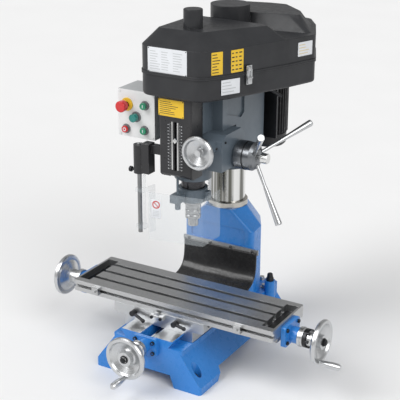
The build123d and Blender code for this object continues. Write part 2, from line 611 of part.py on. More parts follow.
# ---- head ----
CRANK_X = RACK_X - RACK_DEPTH - 16.0
with BuildPart() as head_casting:
    rod((0, COLUMN_Y, HEAD_BOTTOM_Z), UP, BOSS_R, HEAD_TOP_Z - HEAD_BOTTOM_Z - 12)
    side_view = [(SPINDLE_Y + 16, HEAD_TOP_Z), (SPINDLE_Y + 16, HEAD_UNDER_Z + 50),
                 (COLUMN_Y - 60, HEAD_UNDER_Z), (COLUMN_Y, HEAD_UNDER_Z),
                 (COLUMN_Y + HEAD_REAR, HEAD_UNDER_Z + 40),
                 (COLUMN_Y + HEAD_REAR, HEAD_TOP_Z)]
    prism(along_x(-HEAD_HALF), side_view, 2 * HEAD_HALF)
    rod((0, SPINDLE_Y, QUILL_HOUSING_Z), UP, QUILL_R + QUILL_HOUSING_WALL, HEAD_TOP_Z - QUILL_HOUSING_Z)
    block((-PANEL_HALF - 2, HEAD_FRONT_Y, FEED_LOW_Z), (PANEL_HALF + 2, SPINDLE_Y + 20, HEAD_TOP_Z))
    block((-HEAD_HALF - 16, COLUMN_Y - 36, CRANK_Z - 50),
          (-HEAD_HALF + 2, COLUMN_Y + HEAD_REAR, CRANK_Z + 50))
    for way in (-1, 1):
        x = way * (HEAD_HALF + 1)
        recess_top = HEAD_TOP_Z - 32
        recess = [(20, recess_top), (20, recess_top - 43), (112, recess_top - 73), (132, recess_top - 59),
                  (132, recess_top)]
        prism(along_x(x), recess, -way * 7, Mode.SUBTRACT)
    rod((0, COLUMN_Y, HEAD_BOTTOM_Z - 1), UP, COLUMN_R + RUNNING, 320, Mode.SUBTRACT)
    block((RACK_X - RACK_DEPTH - GAP, COLUMN_Y - RACK_WIDTH / 2 - GAP, HEAD_BOTTOM_Z - 1),
          (RACK_X + 12, COLUMN_Y + RACK_WIDTH / 2 + GAP, HEAD_TOP_Z + 1), Mode.SUBTRACT)
    block((-3, COLUMN_Y + 50, HEAD_BOTTOM_Z - 1), (3, COLUMN_Y + BOSS_R + 1, HEAD_TOP_Z + 1), Mode.SUBTRACT)
    bore_low = QUILL_HOUSING_Z - 6
    rod((0, SPINDLE_Y, bore_low), UP, QUILL_R + RUNNING, HEAD_TOP_Z - 12 - bore_low, Mode.SUBTRACT)
    rod((0, SPINDLE_Y, HEAD_TOP_Z - 20), UP, SHEAVE_NECK_R + RUNNING, 30, Mode.SUBTRACT)
    rod((-70, FEED_Y, FEED_Z), RIGHT, FEED_SHAFT_R + RUNNING, 200, Mode.SUBTRACT)
    rod((-20, FEED_Y, FEED_Z), RIGHT, FEED_PINION_R + 1, 40, Mode.SUBTRACT)
    rod((CRANK_X, COLUMN_Y - 26, CRANK_Z), REAR, 17, 52, Mode.SUBTRACT)
    rod((CRANK_X, COLUMN_Y - 30, CRANK_Z), REAR, 9 + RUNNING, 110, Mode.SUBTRACT)
    block((FEED_INNER_X, -64, FEED_LOW_Z - 6), (HEAD_HALF + 1, 80, FEED_HIGH_Z), Mode.SUBTRACT)
finish(head_casting, "head_casting")

with BuildPart() as scale_panel:
    side_view = [(PANEL_Y, PANEL_LOW_Z + 12), (PANEL_Y + 12, PANEL_LOW_Z), (HEAD_FRONT_Y, PANEL_LOW_Z),
                 (HEAD_FRONT_Y, HEAD_TOP_Z), (PANEL_Y, HEAD_TOP_Z)]
    prism(along_x(-PANEL_HALF), side_view, 2 * PANEL_HALF)
    fillet(scale_panel.edges().filter_by(Axis.Z).group_by(Axis.Y)[0], 5)
    rod((0, SPINDLE_Y, QUILL_HOUSING_Z - 6), UP, QUILL_R + QUILL_HOUSING_WALL, HEAD_TOP_Z, Mode.SUBTRACT)
    block((-26, PANEL_Y + 8, PANEL_LOW_Z - 8), (26, HEAD_FRONT_Y - 6, HEAD_TOP_Z - 63), Mode.SUBTRACT)
    block((-4, PANEL_Y - 1, PANEL_LOW_Z + 24), (4, PANEL_Y + 9, HEAD_TOP_Z - 75), Mode.SUBTRACT)
finish(scale_panel, "scale_panel")

with BuildPart() as feed_housing:
    housing = [(-64, FEED_LOW_Z), (62, FEED_LOW_Z), (80, FEED_LOW_Z + 16), (80, FEED_HIGH_Z - 22),
               (58, FEED_HIGH_Z), (-40, FEED_HIGH_Z), (-64, FEED_HIGH_Z - 16)]
    prism(along_x(FEED_INNER_X), housing, FEED_OUTER_X - FEED_INNER_X)
    rod((FEED_OUTER_X, FEED_Y, FEED_Z), RIGHT, FEED_HUB_R - 6, 6)
    rod((FINE_X, -64, FINE_Z), FRONT, 22, 26)
    rod((40, FEED_Y, FEED_Z), RIGHT, FEED_SHAFT_R + RUNNING, 100, Mode.SUBTRACT)
    rod((FINE_X, 60, FINE_Z), FRONT, FINE_SHAFT_R + RUNNING, 160, Mode.SUBTRACT)
    rod((FINE_X, 62, FINE_Z), FRONT, 13, 70, Mode.SUBTRACT)
finish(feed_housing, "feed_housing")

with BuildPart() as spring_cover:
    rod((-HEAD_HALF, FEED_Y, FEED_Z), LEFT, 33, 20)
    fillet(spring_cover.edges().group_by(Axis.X)[0], 4)
finish(spring_cover, "spring_cover")

with BuildPart() as belt_tray:
    cover_slice(TRAY_FLOOR_Z, SEAM_Z - TRAY_FLOOR_Z)
    fillet(belt_tray.edges().group_by(Axis.Z)[0], 9)
    cover_slice(TRAY_FLOOR_Z + 3, 100, SHEET, Mode.SUBTRACT)
    cover_slice(SEAM_Z - 5, 5, -COVER_FLANGE)
    cover_slice(SEAM_Z - 6, 10, SHEET, Mode.SUBTRACT)
    rod((0, SPINDLE_Y, TRAY_FLOOR_Z - 1), UP, 30, 10, Mode.SUBTRACT)
    rod((0, COLUMN_Y, TRAY_FLOOR_Z - 1), UP, COLUMN_R + 4, 10, Mode.SUBTRACT)
    block((RACK_X - RACK_DEPTH - 3, COLUMN_Y - 16, TRAY_FLOOR_Z - 1),
          (RACK_X + 4, COLUMN_Y + 16, TRAY_FLOOR_Z + 9), Mode.SUBTRACT)
    block((MOTOR_X - 24, MOTOR_Y - 36, TRAY_FLOOR_Z - 1),
          (MOTOR_X + 24, MOTOR_Y + 24, TRAY_FLOOR_Z + 9), Mode.SUBTRACT)
    rod((IDLER_X, IDLER_Y, TRAY_FLOOR_Z + 2), UP, 22, 24)
    rod((IDLER_X, IDLER_Y, TRAY_FLOOR_Z + 6), UP, 8 + RUNNING, 30, Mode.SUBTRACT)
finish(belt_tray, "belt_tray")

with BuildPart() as drive_belts:
    first_z = PULLEY_Z + 1.5 * STEP_HEIGHT
    second_z = PULLEY_Z + 3.5 * STEP_HEIGHT
    belt((0, SPINDLE_Y), SPINDLE_STEPS[1], (IDLER_X, IDLER_Y), IDLER_STEPS[1], first_z)
    belt((IDLER_X, IDLER_Y), IDLER_STEPS[3], (MOTOR_X, MOTOR_Y), MOTOR_STEPS[3], second_z)
finish(drive_belts, "drive_belts")

# ---- pulleys ----
with BuildPart() as spindle_pulley:
    pulley((0, SPINDLE_Y, PULLEY_Z), SPINDLE_STEPS, SPINDLE_R + RUNNING)
    turned((0, SPINDLE_Y, HEAD_TOP_Z - 18), UP, [
        (SPINDLE_R + RUNNING, 0), (SHEAVE_NECK_R, 0), (SHEAVE_NECK_R, PULLEY_Z - HEAD_TOP_Z + 18),
        (SPINDLE_R + RUNNING, PULLEY_Z - HEAD_TOP_Z + 18)])
finish(spindle_pulley, "spindle_pulley")

with BuildPart() as idler_pulley:
    pulley((IDLER_X, IDLER_Y, PULLEY_Z), IDLER_STEPS, 0.0)
    rod((IDLER_X, IDLER_Y, TRAY_FLOOR_Z + 7), UP, 8, PULLEY_Z - TRAY_FLOOR_Z - 6)
finish(idler_pulley, "idler_pulley")

with BuildPart() as motor_pulley:
    pulley((MOTOR_X, MOTOR_Y, PULLEY_Z), MOTOR_STEPS, 0.0)
    rod((MOTOR_X, MOTOR_Y, HEAD_TOP_Z - 40), UP, MOTOR_SHAFT_R, PULLEY_Z - HEAD_TOP_Z + 41)
finish(motor_pulley, "motor_pulley")

# ---- motor ----
MOTOR_TOP_Z = HEAD_TOP_Z - 6
with BuildPart() as motor:
    turned((MOTOR_X, MOTOR_Y, MOTOR_BOTTOM_Z), UP, [
        (0, 0), (MOTOR_R - 12, 0), (MOTOR_R, 12), (MOTOR_R, MOTOR_TOP_Z - MOTOR_BOTTOM_Z - 8),
        (MOTOR_R - 8, MOTOR_TOP_Z - MOTOR_BOTTOM_Z), (0, MOTOR_TOP_Z - MOTOR_BOTTOM_Z)])
    rod((MOTOR_X, MOTOR_Y, HEAD_TOP_Z - 46), UP, MOTOR_SHAFT_R + RUNNING, 60, Mode.SUBTRACT)
    block((MOTOR_X - 28, MOTOR_Y + 40, MOTOR_BOTTOM_Z + 85),
          (MOTOR_X + 28, MOTOR_Y + MOTOR_R + 26, MOTOR_BOTTOM_Z + 185))
finish(motor, "motor")

with BuildPart() as motor_plate:
    plate_y = COLUMN_Y + BOSS_R + 12
    block((MOTOR_X - 36, plate_y, MOTOR_BOTTOM_Z + 45), (MOTOR_X + MOTOR_R, plate_y + 8, HEAD_TOP_Z - 8))
    block((MOTOR_X - 18, plate_y + 8, MOTOR_BOTTOM_Z + 55),
          (MOTOR_X + 18, MOTOR_Y - MOTOR_R + 8, HEAD_TOP_Z - 25))
    rod((MOTOR_X, MOTOR_Y, MOTOR_BOTTOM_Z - 5), UP, MOTOR_R, HEAD_TOP_Z - MOTOR_BOTTOM_Z + 10, Mode.SUBTRACT)
finish(motor_plate, "motor_plate")

with BuildPart() as tension_lever:
    rod((HEAD_HALF + GAP, COLUMN_Y + 44, TENSION_Z), RIGHT, 9, 26)
    rod((HEAD_HALF + 20, COLUMN_Y + 44, TENSION_Z), (0.35, 0.75, -0.56), 6, 70)
finish(tension_lever, "tension_lever")

with BuildPart() as quill_lock:
    rod((-QUILL_R - QUILL_HOUSING_WALL - GAP, SPINDLE_Y, QUILL_LOCK_Z), LEFT, 8, 16)
    rod((-QUILL_R - QUILL_HOUSING_WALL - 12, SPINDLE_Y, QUILL_LOCK_Z), (-0.5, -0.5, -0.7), 4.5, 48)
finish(quill_lock, "quill_lock")

with BuildPart() as elevation_crank:
    rod((CRANK_X, COLUMN_Y - 24, CRANK_Z), REAR, 14, 48)
    rod((CRANK_X, COLUMN_Y + 24, CRANK_Z), REAR, 9, BOSS_R - 12)
    arm_y = COLUMN_Y + BOSS_R + GAP
    block((CRANK_X - 11, arm_y, CRANK_Z - CRANK_ARM - 11), (CRANK_X + 11, arm_y + 12, CRANK_Z + 12))
    rod((CRANK_X, arm_y + 6, CRANK_Z - CRANK_ARM), REAR, 9, 66)
finish(elevation_crank, "elevation_crank")

# ---- feed hub ----
with BuildPart() as feed_hub:
    turned((-40, FEED_Y, FEED_Z), RIGHT, [
        (0, 0), (FEED_SHAFT_R, 0), (FEED_SHAFT_R, 24), (FEED_PINION_R, 24), (FEED_PINION_R, 56),
        (FEED_SHAFT_R, 56), (FEED_SHAFT_R, 172.5), (FEED_HUB_R - 2, 172.5), (FEED_HUB_R, 175),
        (FEED_HUB_R, 203), (FEED_HUB_R - 1, 205),
        (FEED_HUB_R - 1, 226), (38, 236), (22, 242), (0, 242)])
finish(feed_hub, "feed_hub")

HUB_FACE_X = -40 + 242
LEVER_ANGLES = (23.0, 143.0, 263.0)
LEVER_X = HUB_FACE_X - 17.0
LEVER_ROOT = 30.0
with BuildPart() as feed_levers:
    tilt = math.radians(LEVER_TILT)
    for angle in LEVER_ANGLES:
        turn = math.radians(angle)
        way = (math.sin(tilt), math.cos(tilt) * math.cos(turn), math.cos(tilt) * math.sin(turn))
        root = tuple(c + LEVER_ROOT * d for c, d in zip((LEVER_X, FEED_Y, FEED_Z), way))
        turned(root, way, [
            (0, 0), (6, 0), (6, 30), (5.5, 70), (6.5, 76), (11, LEVER_REACH - LEVER_ROOT - 4),
            (10, LEVER_REACH - LEVER_ROOT), (0, LEVER_REACH - LEVER_ROOT)])
finish(feed_levers, "feed_levers")

with BuildPart() as clutch_knob:
    turned((HUB_FACE_X + GAP, FEED_Y, FEED_Z), RIGHT, [
        (0, 0), (6, 0), (6, 8), (15, 9), (16.5, 11), (16.5, 30), (15, 32), (0, 32)])
finish(clutch_knob, "clutch_knob")

with BuildPart() as fine_feed_wheel:
    turned((FINE_X, FINE_WHEEL_Y, FINE_Z), FRONT, [
        (0, -48), (18, -48), (18, -32), (12, -28), (16, -20), (FINE_WHEEL_R - 13.5, -8),
        (FINE_WHEEL_R - 3.5, -6), (FINE_WHEEL_R, -3), (FINE_WHEEL_R, 4), (FINE_WHEEL_R - 3.5, 8),
        (FINE_WHEEL_R - 9.5, 8), (FINE_WHEEL_R - 13.5, -2), (12, -14), (10, -12), (10, 2), (0, 2)])
    rod((FINE_X, FINE_WHEEL_Y + 40, FINE_Z), REAR, FINE_SHAFT_R, 150)
    rod((FINE_X, -6, FINE_Z), REAR, 12, 54)
finish(fine_feed_wheel, "fine_feed_wheel")

# ---- quill and spindle ----
with BuildPart() as quill:
    turned((0, SPINDLE_Y, QUILL_BOTTOM_Z), UP, [
        (QUILL_BORE_R + RUNNING, 0), (QUILL_R, 0), (QUILL_R, QUILL_TOP_Z - QUILL_BOTTOM_Z),
        (QUILL_BORE_R + RUNNING, QUILL_TOP_Z - QUILL_BOTTOM_Z)])
finish(quill, "quill")

with BuildPart() as quill_collar:
    rod((0, SPINDLE_Y, COLLAR_Z), UP, COLLAR_R, COLLAR_HEIGHT)
    block((DEPTH_ROD_X - 22, DEPTH_ROD_Y - 12, COLLAR_Z + 6),
          (DEPTH_ROD_X + 10, SPINDLE_Y - 20, COLLAR_Z + 32))
    block((34, SPINDLE_Y - 10, COLLAR_Z + 6), (COLLAR_R + 13, SPINDLE_Y + 10, COLLAR_Z + 36))
    rod((0, SPINDLE_Y, COLLAR_Z - 1), UP, QUILL_R, COLLAR_HEIGHT + 8, Mode.SUBTRACT)
    rod((DEPTH_ROD_X, DEPTH_ROD_Y, COLLAR_Z - 8), UP, 4, 236)
    rod((DEPTH_ROD_X, DEPTH_ROD_Y, COLLAR_Z - 14), UP, 9, 18)
    pointer_z = COLLAR_Z + 221
    block((DEPTH_ROD_X - 2, DEPTH_ROD_Y - 6, pointer_z - 5), (3, DEPTH_ROD_Y + 6, pointer_z + 5))
    block((-2.5, PANEL_Y - 1, pointer_z - 4), (2.5, DEPTH_ROD_Y - 2, pointer_z + 4))
    with BuildSketch(along_y(PANEL_Y - SLIDING)) as pointer:
        with Locations((0, pointer_z)):
            Rectangle(13, 13, rotation=45)
    extrude(pointer.sketch, amount=2.5)
finish(quill_collar, "quill_collar")

with BuildPart() as spindle:
    turned((0, SPINDLE_Y, QUILL_BOTTOM_Z - 8), UP, [
        (0, 0), (31, 0), (31, 7.5), (QUILL_BORE_R, 7.5), (QUILL_BORE_R, 306), (SPINDLE_R, 306),
        (SPINDLE_R, 530), (12, 534), (12, 562), (0, 562)])
finish(spindle, "spindle")

with BuildPart() as collet_chuck:
    turned((0, SPINDLE_Y, NOSE_Z), UP, [
        (0, 0), (16.5, 0), (17.5, 1.5), (17.5, 25), (23, 25), (25.5, 27), (25.5, 37), (24, 39), (24, 42),
        (25.5, 44), (25.5, 54), (24, 56), (24, 59), (25.5, 61), (25.5, 74), (22, 77), (0, 77)])
    rod((0, SPINDLE_Y, NOSE_Z - 1), UP, COLLET_BORE_R, COLLET_BORE_DEPTH + 1, Mode.SUBTRACT)
finish(collet_chuck, "collet_chuck")

# ---- belt cover lid ----
LID_Z = SEAM_Z + SLIDING
with BuildPart() as belt_lid:
    cover_slice(LID_Z, LID_BAND_Z - LID_Z)
    lofted(LID_LOW, LID_BAND_Z, LID_HIGH, LID_TOP_Z, LID_ROUND, front_radius=COVER_FRONT_ROUND)
    lofted(HOOD_LOW, LID_BAND_Z, HOOD_HIGH, LID_TOP_Z + 6, HOOD_ROUND)
    cover_slice(LID_Z, 5, -COVER_FLANGE)
    rod((0, COLUMN_Y, LID_BAND_Z - 20), UP, DOME_R, DOME_TOP_Z - LID_BAND_Z + 20)
    cover_slice(LID_Z - 1, LID_BAND_Z - LID_Z - 2, SHEET, Mode.SUBTRACT)
    lofted(LID_LOW, LID_BAND_Z - 6, LID_HIGH, LID_TOP_Z - 3, LID_ROUND, 4, Mode.SUBTRACT, COVER_FRONT_ROUND)
    lofted(HOOD_LOW, LID_BAND_Z - 6, HOOD_HIGH, LID_TOP_Z + 3, HOOD_ROUND, 4, Mode.SUBTRACT)
    rod((0, COLUMN_Y, LID_BAND_Z - 40), UP, DOME_R - SHEET, DOME_TOP_Z - LID_BAND_Z + 37, Mode.SUBTRACT)
    rod((0, SPINDLE_Y, LID_TOP_Z - 10), UP, CAP_R - 6, 30, Mode.SUBTRACT)
finish(belt_lid, "belt_lid")

with BuildPart() as drawbar_cap:
    turned((0, SPINDLE_Y, LID_TOP_Z), UP, [
        (CAP_R - 3, 0), (CAP_R + 1, 0), (CAP_R, 1.5), (CAP_R, CAP_TOP_Z - LID_TOP_Z - 2),
        (CAP_R - 2, CAP_TOP_Z - LID_TOP_Z), (0, CAP_TOP_Z - LID_TOP_Z), (0, CAP_TOP_Z - LID_TOP_Z - 3),
        (CAP_R - 3, CAP_TOP_Z - LID_TOP_Z - 3)])
finish(drawbar_cap, "drawbar_cap")

wall_start, wall_end = COVER[2], COVER[3]
wall_length = math.dist(wall_start, wall_end)
wall_way = tuple((b - a) / wall_length for a, b in zip(wall_start, wall_end))
wall_out = (wall_way[1], -wall_way[0])
LATCH_X = wall_start[0] + wall_way[0] * LATCH_ALONG + wall_out[0] * LATCH_STAND_OFF
LATCH_Y = wall_start[1] + wall_way[1] * LATCH_ALONG + wall_out[1] * LATCH_STAND_OFF
with BuildPart() as lid_latch:
    side = Plane(origin=(LATCH_X, LATCH_Y, SEAM_Z), x_dir=(*wall_way, 0), z_dir=(*wall_out, 0))
    with BuildSketch(side) as latch_plate:
        with Locations((0, -4)):
            Rectangle(20, 58)
    extrude(amount=5)
finish(lid_latch, "lid_latch")

# ---- control box ----
box_left = CONTROL_X - CONTROL_WIDTH / 2
box_right = CONTROL_X + CONTROL_WIDTH / 2
box_low = CONTROL_Z - CONTROL_HEIGHT / 2
with BuildPart() as control_box:
    block((box_left, CONTROL_FRONT, box_low), (box_right, CONTROL_FRONT + CONTROL_DEPTH, CONTROL_TOP))
    block((box_left + 3, CONTROL_FRONT - 1, box_low + 3),
          (box_right - 3, CONTROL_FRONT + CONTROL_DEPTH - 3, CONTROL_TOP - 3), Mode.SUBTRACT)
    block((box_right, CONTROL_FRONT + 60, CONTROL_Z - 30),
          (-HEAD_HALF, CONTROL_FRONT + CONTROL_DEPTH, CONTROL_Z + 30))
finish(control_box, "control_box")

BUTTONS = (
    ("emergency_stop", -33.5, 29.0, 14.0, 18.0, 34.0),
    ("upper_start_button", 33.5, 33.6, 11.0, 11.0, 9.0),
    ("selector_button", 0.0, -7.5, 12.0, 13.0, 16.0),
    ("stop_button", -37.7, -51.0, 11.0, 11.0, 6.0),
    ("lower_start_button", 30.7, -47.6, 11.0, 11.0, 6.0),
)
with BuildPart() as control_panel:
    block((box_left, CONTROL_FRONT - PANEL_THICK, box_low), (box_right, CONTROL_FRONT, CONTROL_TOP))
    for name, dx, dz, stem, head, reach in BUTTONS:
        centre = (CONTROL_X + dx, CONTROL_FRONT - PANEL_THICK, CONTROL_Z + dz)
        rod(centre, FRONT, stem + 3, 4)
        rod((centre[0], CONTROL_FRONT + 1, centre[2]), FRONT, stem - 4 + SLIDING, 20, Mode.SUBTRACT)
    for x in (box_left + 7, box_right - 7):
        for z in (box_low + 7, CONTROL_TOP - 7):
            rod((x, CONTROL_FRONT - PANEL_THICK, z), FRONT, 3.5, 1.5)
finish(control_panel, "control_panel")

for name, dx, dz, stem, head, reach in BUTTONS:
    with BuildPart() as button:
        face_y = CONTROL_FRONT - PANEL_THICK - 4
        back_y = CONTROL_FRONT + 12
        rod((CONTROL_X + dx, back_y, CONTROL_Z + dz), FRONT, stem - 4, back_y - face_y + 4)
        rod((CONTROL_X + dx, face_y - 4, CONTROL_Z + dz), FRONT, head, reach)
        fillet(button.edges().group_by(Axis.Y)[0], 2)
    finish(button, name)

# ---- chuck guard ----
POST_X = GUARD_X - 7.0
HOLDER_TOP_Z = GUARD_HOLDER_Z + 97.0
with BuildPart() as guard_holder:
    rod((POST_X, GUARD_Y, GUARD_HOLDER_Z), UP, 18, HOLDER_TOP_Z - GUARD_HOLDER_Z - 3)
    block((GUARD_X + 8, GUARD_Y - 12, GUARD_HOLDER_Z + 3), (GUARD_X + 36, GUARD_Y + 24, HOLDER_TOP_Z + 4))
    block((GUARD_X + 30, GUARD_Y + 4, HOLDER_TOP_Z - 28), (-PANEL_HALF, GUARD_Y + 24, HOLDER_TOP_Z))
    block((GUARD_X + 70, GUARD_Y + 24, HOLDER_TOP_Z - 28), (-PANEL_HALF - 2, HEAD_FRONT_Y + 20, HOLDER_TOP_Z))
    rod((POST_X, GUARD_Y, GUARD_HOLDER_Z - 3), UP, GUARD_POST_R + RUNNING, 92, Mode.SUBTRACT)
finish(guard_holder, "guard_holder")

with BuildPart() as guard_post:
    rod((POST_X, GUARD_Y, GUARD_POST_Z), UP, GUARD_POST_R, 288)
finish(guard_post, "guard_post")

GUARD_LINE = [(-122, -58), (-131, -84), (-100, -129), (80, -99), (80, 6)]
with BuildPart() as guard_shield:
    with BuildLine() as guard_edge:
        Polyline(*[(x, y, GUARD_BOTTOM_Z) for x, y in GUARD_LINE])
    with BuildSketch(Plane.XY.offset(GUARD_BOTTOM_Z)) as guard_plan:
        trace(guard_edge.line, line_width=GUARD_WALL)
    extrude(guard_plan.sketch, amount=GUARD_TOP_Z - GUARD_BOTTOM_Z)
    rod((GUARD_X + 7, GUARD_Y + 6, GUARD_BOTTOM_Z + 12), UP, 5, GUARD_HOLDER_Z - GUARD_BOTTOM_Z - 19)
    for z in (GUARD_BOTTOM_Z + 16, GUARD_TOP_Z - 18):
        block((POST_X - 12, GUARD_Y - 8, z), (GUARD_X + 12, GUARD_Y + 11, z + 14))
        block((GUARD_X + 4, GUARD_Y + 6, z), (GUARD_X + 17, GUARD_Y + 14, z + 14))
    rod((POST_X, GUARD_Y, GUARD_POST_Z - 10), UP, GUARD_POST_R + RUNNING, 300, Mode.SUBTRACT)
finish(guard_shield, "guard_shield")

os.makedirs("parts", exist_ok=True)
for piece in pieces:
    export_step(piece, f"parts/{piece.label}.step")
print(len(pieces), "pieces")
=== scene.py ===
"""Benchtop milling machine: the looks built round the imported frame, laid out as an add-on."""
import math

import bmesh
import bpy
import numpy as np
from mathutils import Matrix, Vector


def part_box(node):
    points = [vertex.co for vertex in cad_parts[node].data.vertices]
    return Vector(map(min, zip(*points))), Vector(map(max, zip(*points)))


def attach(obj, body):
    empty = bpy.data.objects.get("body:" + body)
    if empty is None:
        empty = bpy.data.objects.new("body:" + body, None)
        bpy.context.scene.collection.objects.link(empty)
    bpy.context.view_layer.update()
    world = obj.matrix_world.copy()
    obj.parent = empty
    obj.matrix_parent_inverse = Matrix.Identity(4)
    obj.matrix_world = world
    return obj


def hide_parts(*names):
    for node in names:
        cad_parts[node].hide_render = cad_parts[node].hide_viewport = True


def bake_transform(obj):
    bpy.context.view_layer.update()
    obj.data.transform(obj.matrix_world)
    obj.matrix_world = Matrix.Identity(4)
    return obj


bl_info = {
    "name": "Benchtop milling machine",
    "version": (1, 0, 0),
    "blender": (4, 5, 0),
    "location": "View3D > Sidebar > Mill",
    "description": "Finishes, fittings, covers and plates of a round-column milling machine",
    "category": "Object",
}

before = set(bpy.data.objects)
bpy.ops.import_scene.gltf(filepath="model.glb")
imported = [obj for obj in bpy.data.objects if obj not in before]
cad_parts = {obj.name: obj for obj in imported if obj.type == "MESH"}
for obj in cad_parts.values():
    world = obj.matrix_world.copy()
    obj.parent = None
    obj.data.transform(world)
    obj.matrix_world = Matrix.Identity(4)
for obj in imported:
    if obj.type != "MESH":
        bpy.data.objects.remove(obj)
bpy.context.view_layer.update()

MM = 0.001
X, Y, Z = np.eye(3)
TURN = 2 * math.pi


def corners(node):
    """The lowest and highest corner of a CAD node, as arrays in metres."""
    low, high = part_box(node)
    return np.array(low), np.array(high)


def middle(node):
    """The centre of a CAD node's box."""
    low, high = corners(node)
    return (low + high) / 2


COLUMN = middle("column_tube")
SPINDLE = middle("quill")
TABLE_LOW, TABLE_HIGH = corners("table")
PANEL_FRONT = corners("scale_panel")[0][1]
HUB = middle("clutch_knob")
FINE_FEED = middle("fine_feed_wheel")
X_SCREW = middle("x_leadscrew")
Y_SCREW = middle("y_leadscrew")


# ---- sizes and colours that a user would change ----
class MillColours(bpy.types.PropertyGroup):
    """The paints and plastics."""

    base: bpy.props.FloatVectorProperty(
        name="Base paint", description="Enamel on the base, stand and brackets",
        default=(0.008, 0.20, 0.62), size=3, subtype="COLOR", min=0, max=1)
    head: bpy.props.FloatVectorProperty(
        name="Head paint", description="Enamel on the head casting and feed housing",
        default=(0.095, 0.125, 0.155), size=3, subtype="COLOR", min=0, max=1)
    cover: bpy.props.FloatVectorProperty(
        name="Cover", description="Moulded black of the belt cover",
        default=(0.016, 0.017, 0.020), size=3, subtype="COLOR", min=0, max=1)
    label: bpy.props.FloatVectorProperty(
        name="Yellow plate", description="Ground colour of the yellow plates",
        default=(0.86, 0.55, 0.03), size=3, subtype="COLOR", min=0, max=1)


class MillSizes(bpy.types.PropertyGroup):
    """Sizes of the fittings."""

    tick: bpy.props.FloatProperty(
        name="Tick width", description="Width of a graduation line",
        default=0.7 * MM, unit="LENGTH")
    plate: bpy.props.FloatProperty(
        name="Plate thickness", description="Thickness of the riveted plates",
        default=0.8 * MM, unit="LENGTH")
    flap: bpy.props.FloatProperty(
        name="Flap thickness", description="Thickness of the rubber way cover",
        default=2.5 * MM, unit="LENGTH")
    fins: bpy.props.IntProperty(
        name="Motor fins", description="Number of cooling fins round the motor", default=36, min=8)


# ---- shapes worked out with numpy: each returns points and faces ----
def grid_faces(rows, columns, wrap=True):
    """Quads between neighbouring points of a grid; the columns close on themselves when wrapped."""
    row = np.arange(rows - 1)[:, None] * columns
    column = np.arange(columns if wrap else columns - 1)[None, :]
    after = (column + 1) % columns
    quads = np.stack([row + column, row + after, row + columns + after, row + columns + column], -1)
    return quads.reshape(-1, 4).tolist()


def capped_faces(rows, columns):
    """The faces of a closed tube of loops: its wall, and one face over each end."""
    faces = grid_faces(rows, columns)
    faces.append(list(range(columns))[::-1])
    faces.append(list(range(columns * (rows - 1), columns * rows)))
    return faces


def across_axis(axis):
    """Two unit vectors square to an axis, right-handed with it."""
    axis = np.array(axis, float) / np.linalg.norm(axis)
    helper = Z if abs(axis[2]) < 0.9 else Y
    first = np.cross(helper, axis)
    first /= np.linalg.norm(first)
    return first, np.cross(axis, first), axis


def spun(origin, axis, profile, around=64):
    """Levels (radius, height, sides) carried round an axis. A level with sides has a polygon's radius,
    r cos(pi/n) / cos(angle from the nearest side's middle); without, a circle's."""
    first, second, axis = across_axis(axis)
    angle = np.linspace(0, TURN, around, endpoint=False)
    levels = [tuple(level) + (0,) * (3 - len(level)) for level in profile]
    reach = np.ones((len(levels), around))
    for number, (_, _, sides) in enumerate(levels):
        if sides:
            wedge = TURN / sides
            reach[number] = math.cos(wedge / 2) / np.cos(angle % wedge - wedge / 2)
    radius = np.array([level[0] for level in levels])[:, None] * reach
    height = np.array([level[1] for level in levels])[:, None, None]
    ring = np.cos(angle)[:, None] * first + np.sin(angle)[:, None] * second
    points = np.array(origin, float) + radius[..., None] * ring[None] + height * axis
    return points.reshape(-1, 3), grid_faces(len(levels), around)


def mm(*levels):
    """Levels given in millimetres, in metres; a level's number of sides stays as it is."""
    return [(level[0] * MM, level[1] * MM, *level[2:]) for level in levels]


def band(inner, outer, height):
    """The levels of a flat ring, closed on itself, given in millimetres."""
    return mm((inner, 0), (outer, 0), (outer, height), (inner, height), (inner, 0))


def socket_screw(place, axis, radius, height):
    """A cap screw's head: a short cylinder with a chamfer and a six-sided socket."""
    return spun(place, axis, [
        (0, 0), (radius, 0), (radius, height * 0.86), (radius * 0.9, height),
        (radius * 0.52, height), (radius * 0.48, height * 0.92, 6), (radius * 0.48, height * 0.4, 6),
        (0, height * 0.4)], 36)


def hex_bolt(place, axis, radius, height):
    """A washer and a six-sided head with a turned chamfer."""
    return spun(place, axis, [
        (0, 0), (radius * 1.25, 0), (radius * 1.25, height * 0.2), (radius, height * 0.2, 6),
        (radius, height * 0.88, 6), (radius * 0.84, height), (0, height)], 36)


def pan_screw(place, axis, radius, height):
    """A domed head: the height follows a quarter circle."""
    bend = np.linspace(0, math.pi / 2, 6)
    dome = [(radius * math.cos(b), height * (0.3 + 0.7 * math.sin(b))) for b in bend]
    return spun(place, axis, [(0, 0), (radius, 0)] + dome, 24)


def rounded_loop(width, height, corner, steps=6):
    """A rounded rectangle's corner centres and directions, point by point round the loop."""
    angle = np.concatenate([np.linspace(q, q + math.pi / 2, steps) for q in np.arange(4) * math.pi / 2])
    way = np.stack([np.cos(angle), np.sin(angle)], -1)
    sign = np.repeat([[1, 1], [-1, 1], [-1, -1], [1, -1]], steps, 0)
    centre = sign * (np.array([width, height]) / 2 - corner)
    return centre, way


def plate(centre, right, up, size, thickness, corner, edge):
    """A rounded rectangle raised off a surface along right x up, its rim rolled in by the edge size."""
    right, up = np.array(right, float), np.array(up, float)
    out = np.cross(right, up)
    centres, way = rounded_loop(size[0], size[1], corner)
    rows = []
    rim = ((0, 0), (0, thickness - edge), (edge * 0.3, thickness - edge * 0.3), (edge, thickness))
    for inset, height in rim:
        flat = centres + way * (corner - inset)
        rows.append(np.array(centre) + flat[:, :1] * right + flat[:, 1:] * up + height * out)
    return np.concatenate(rows), capped_faces(len(rows), len(way))


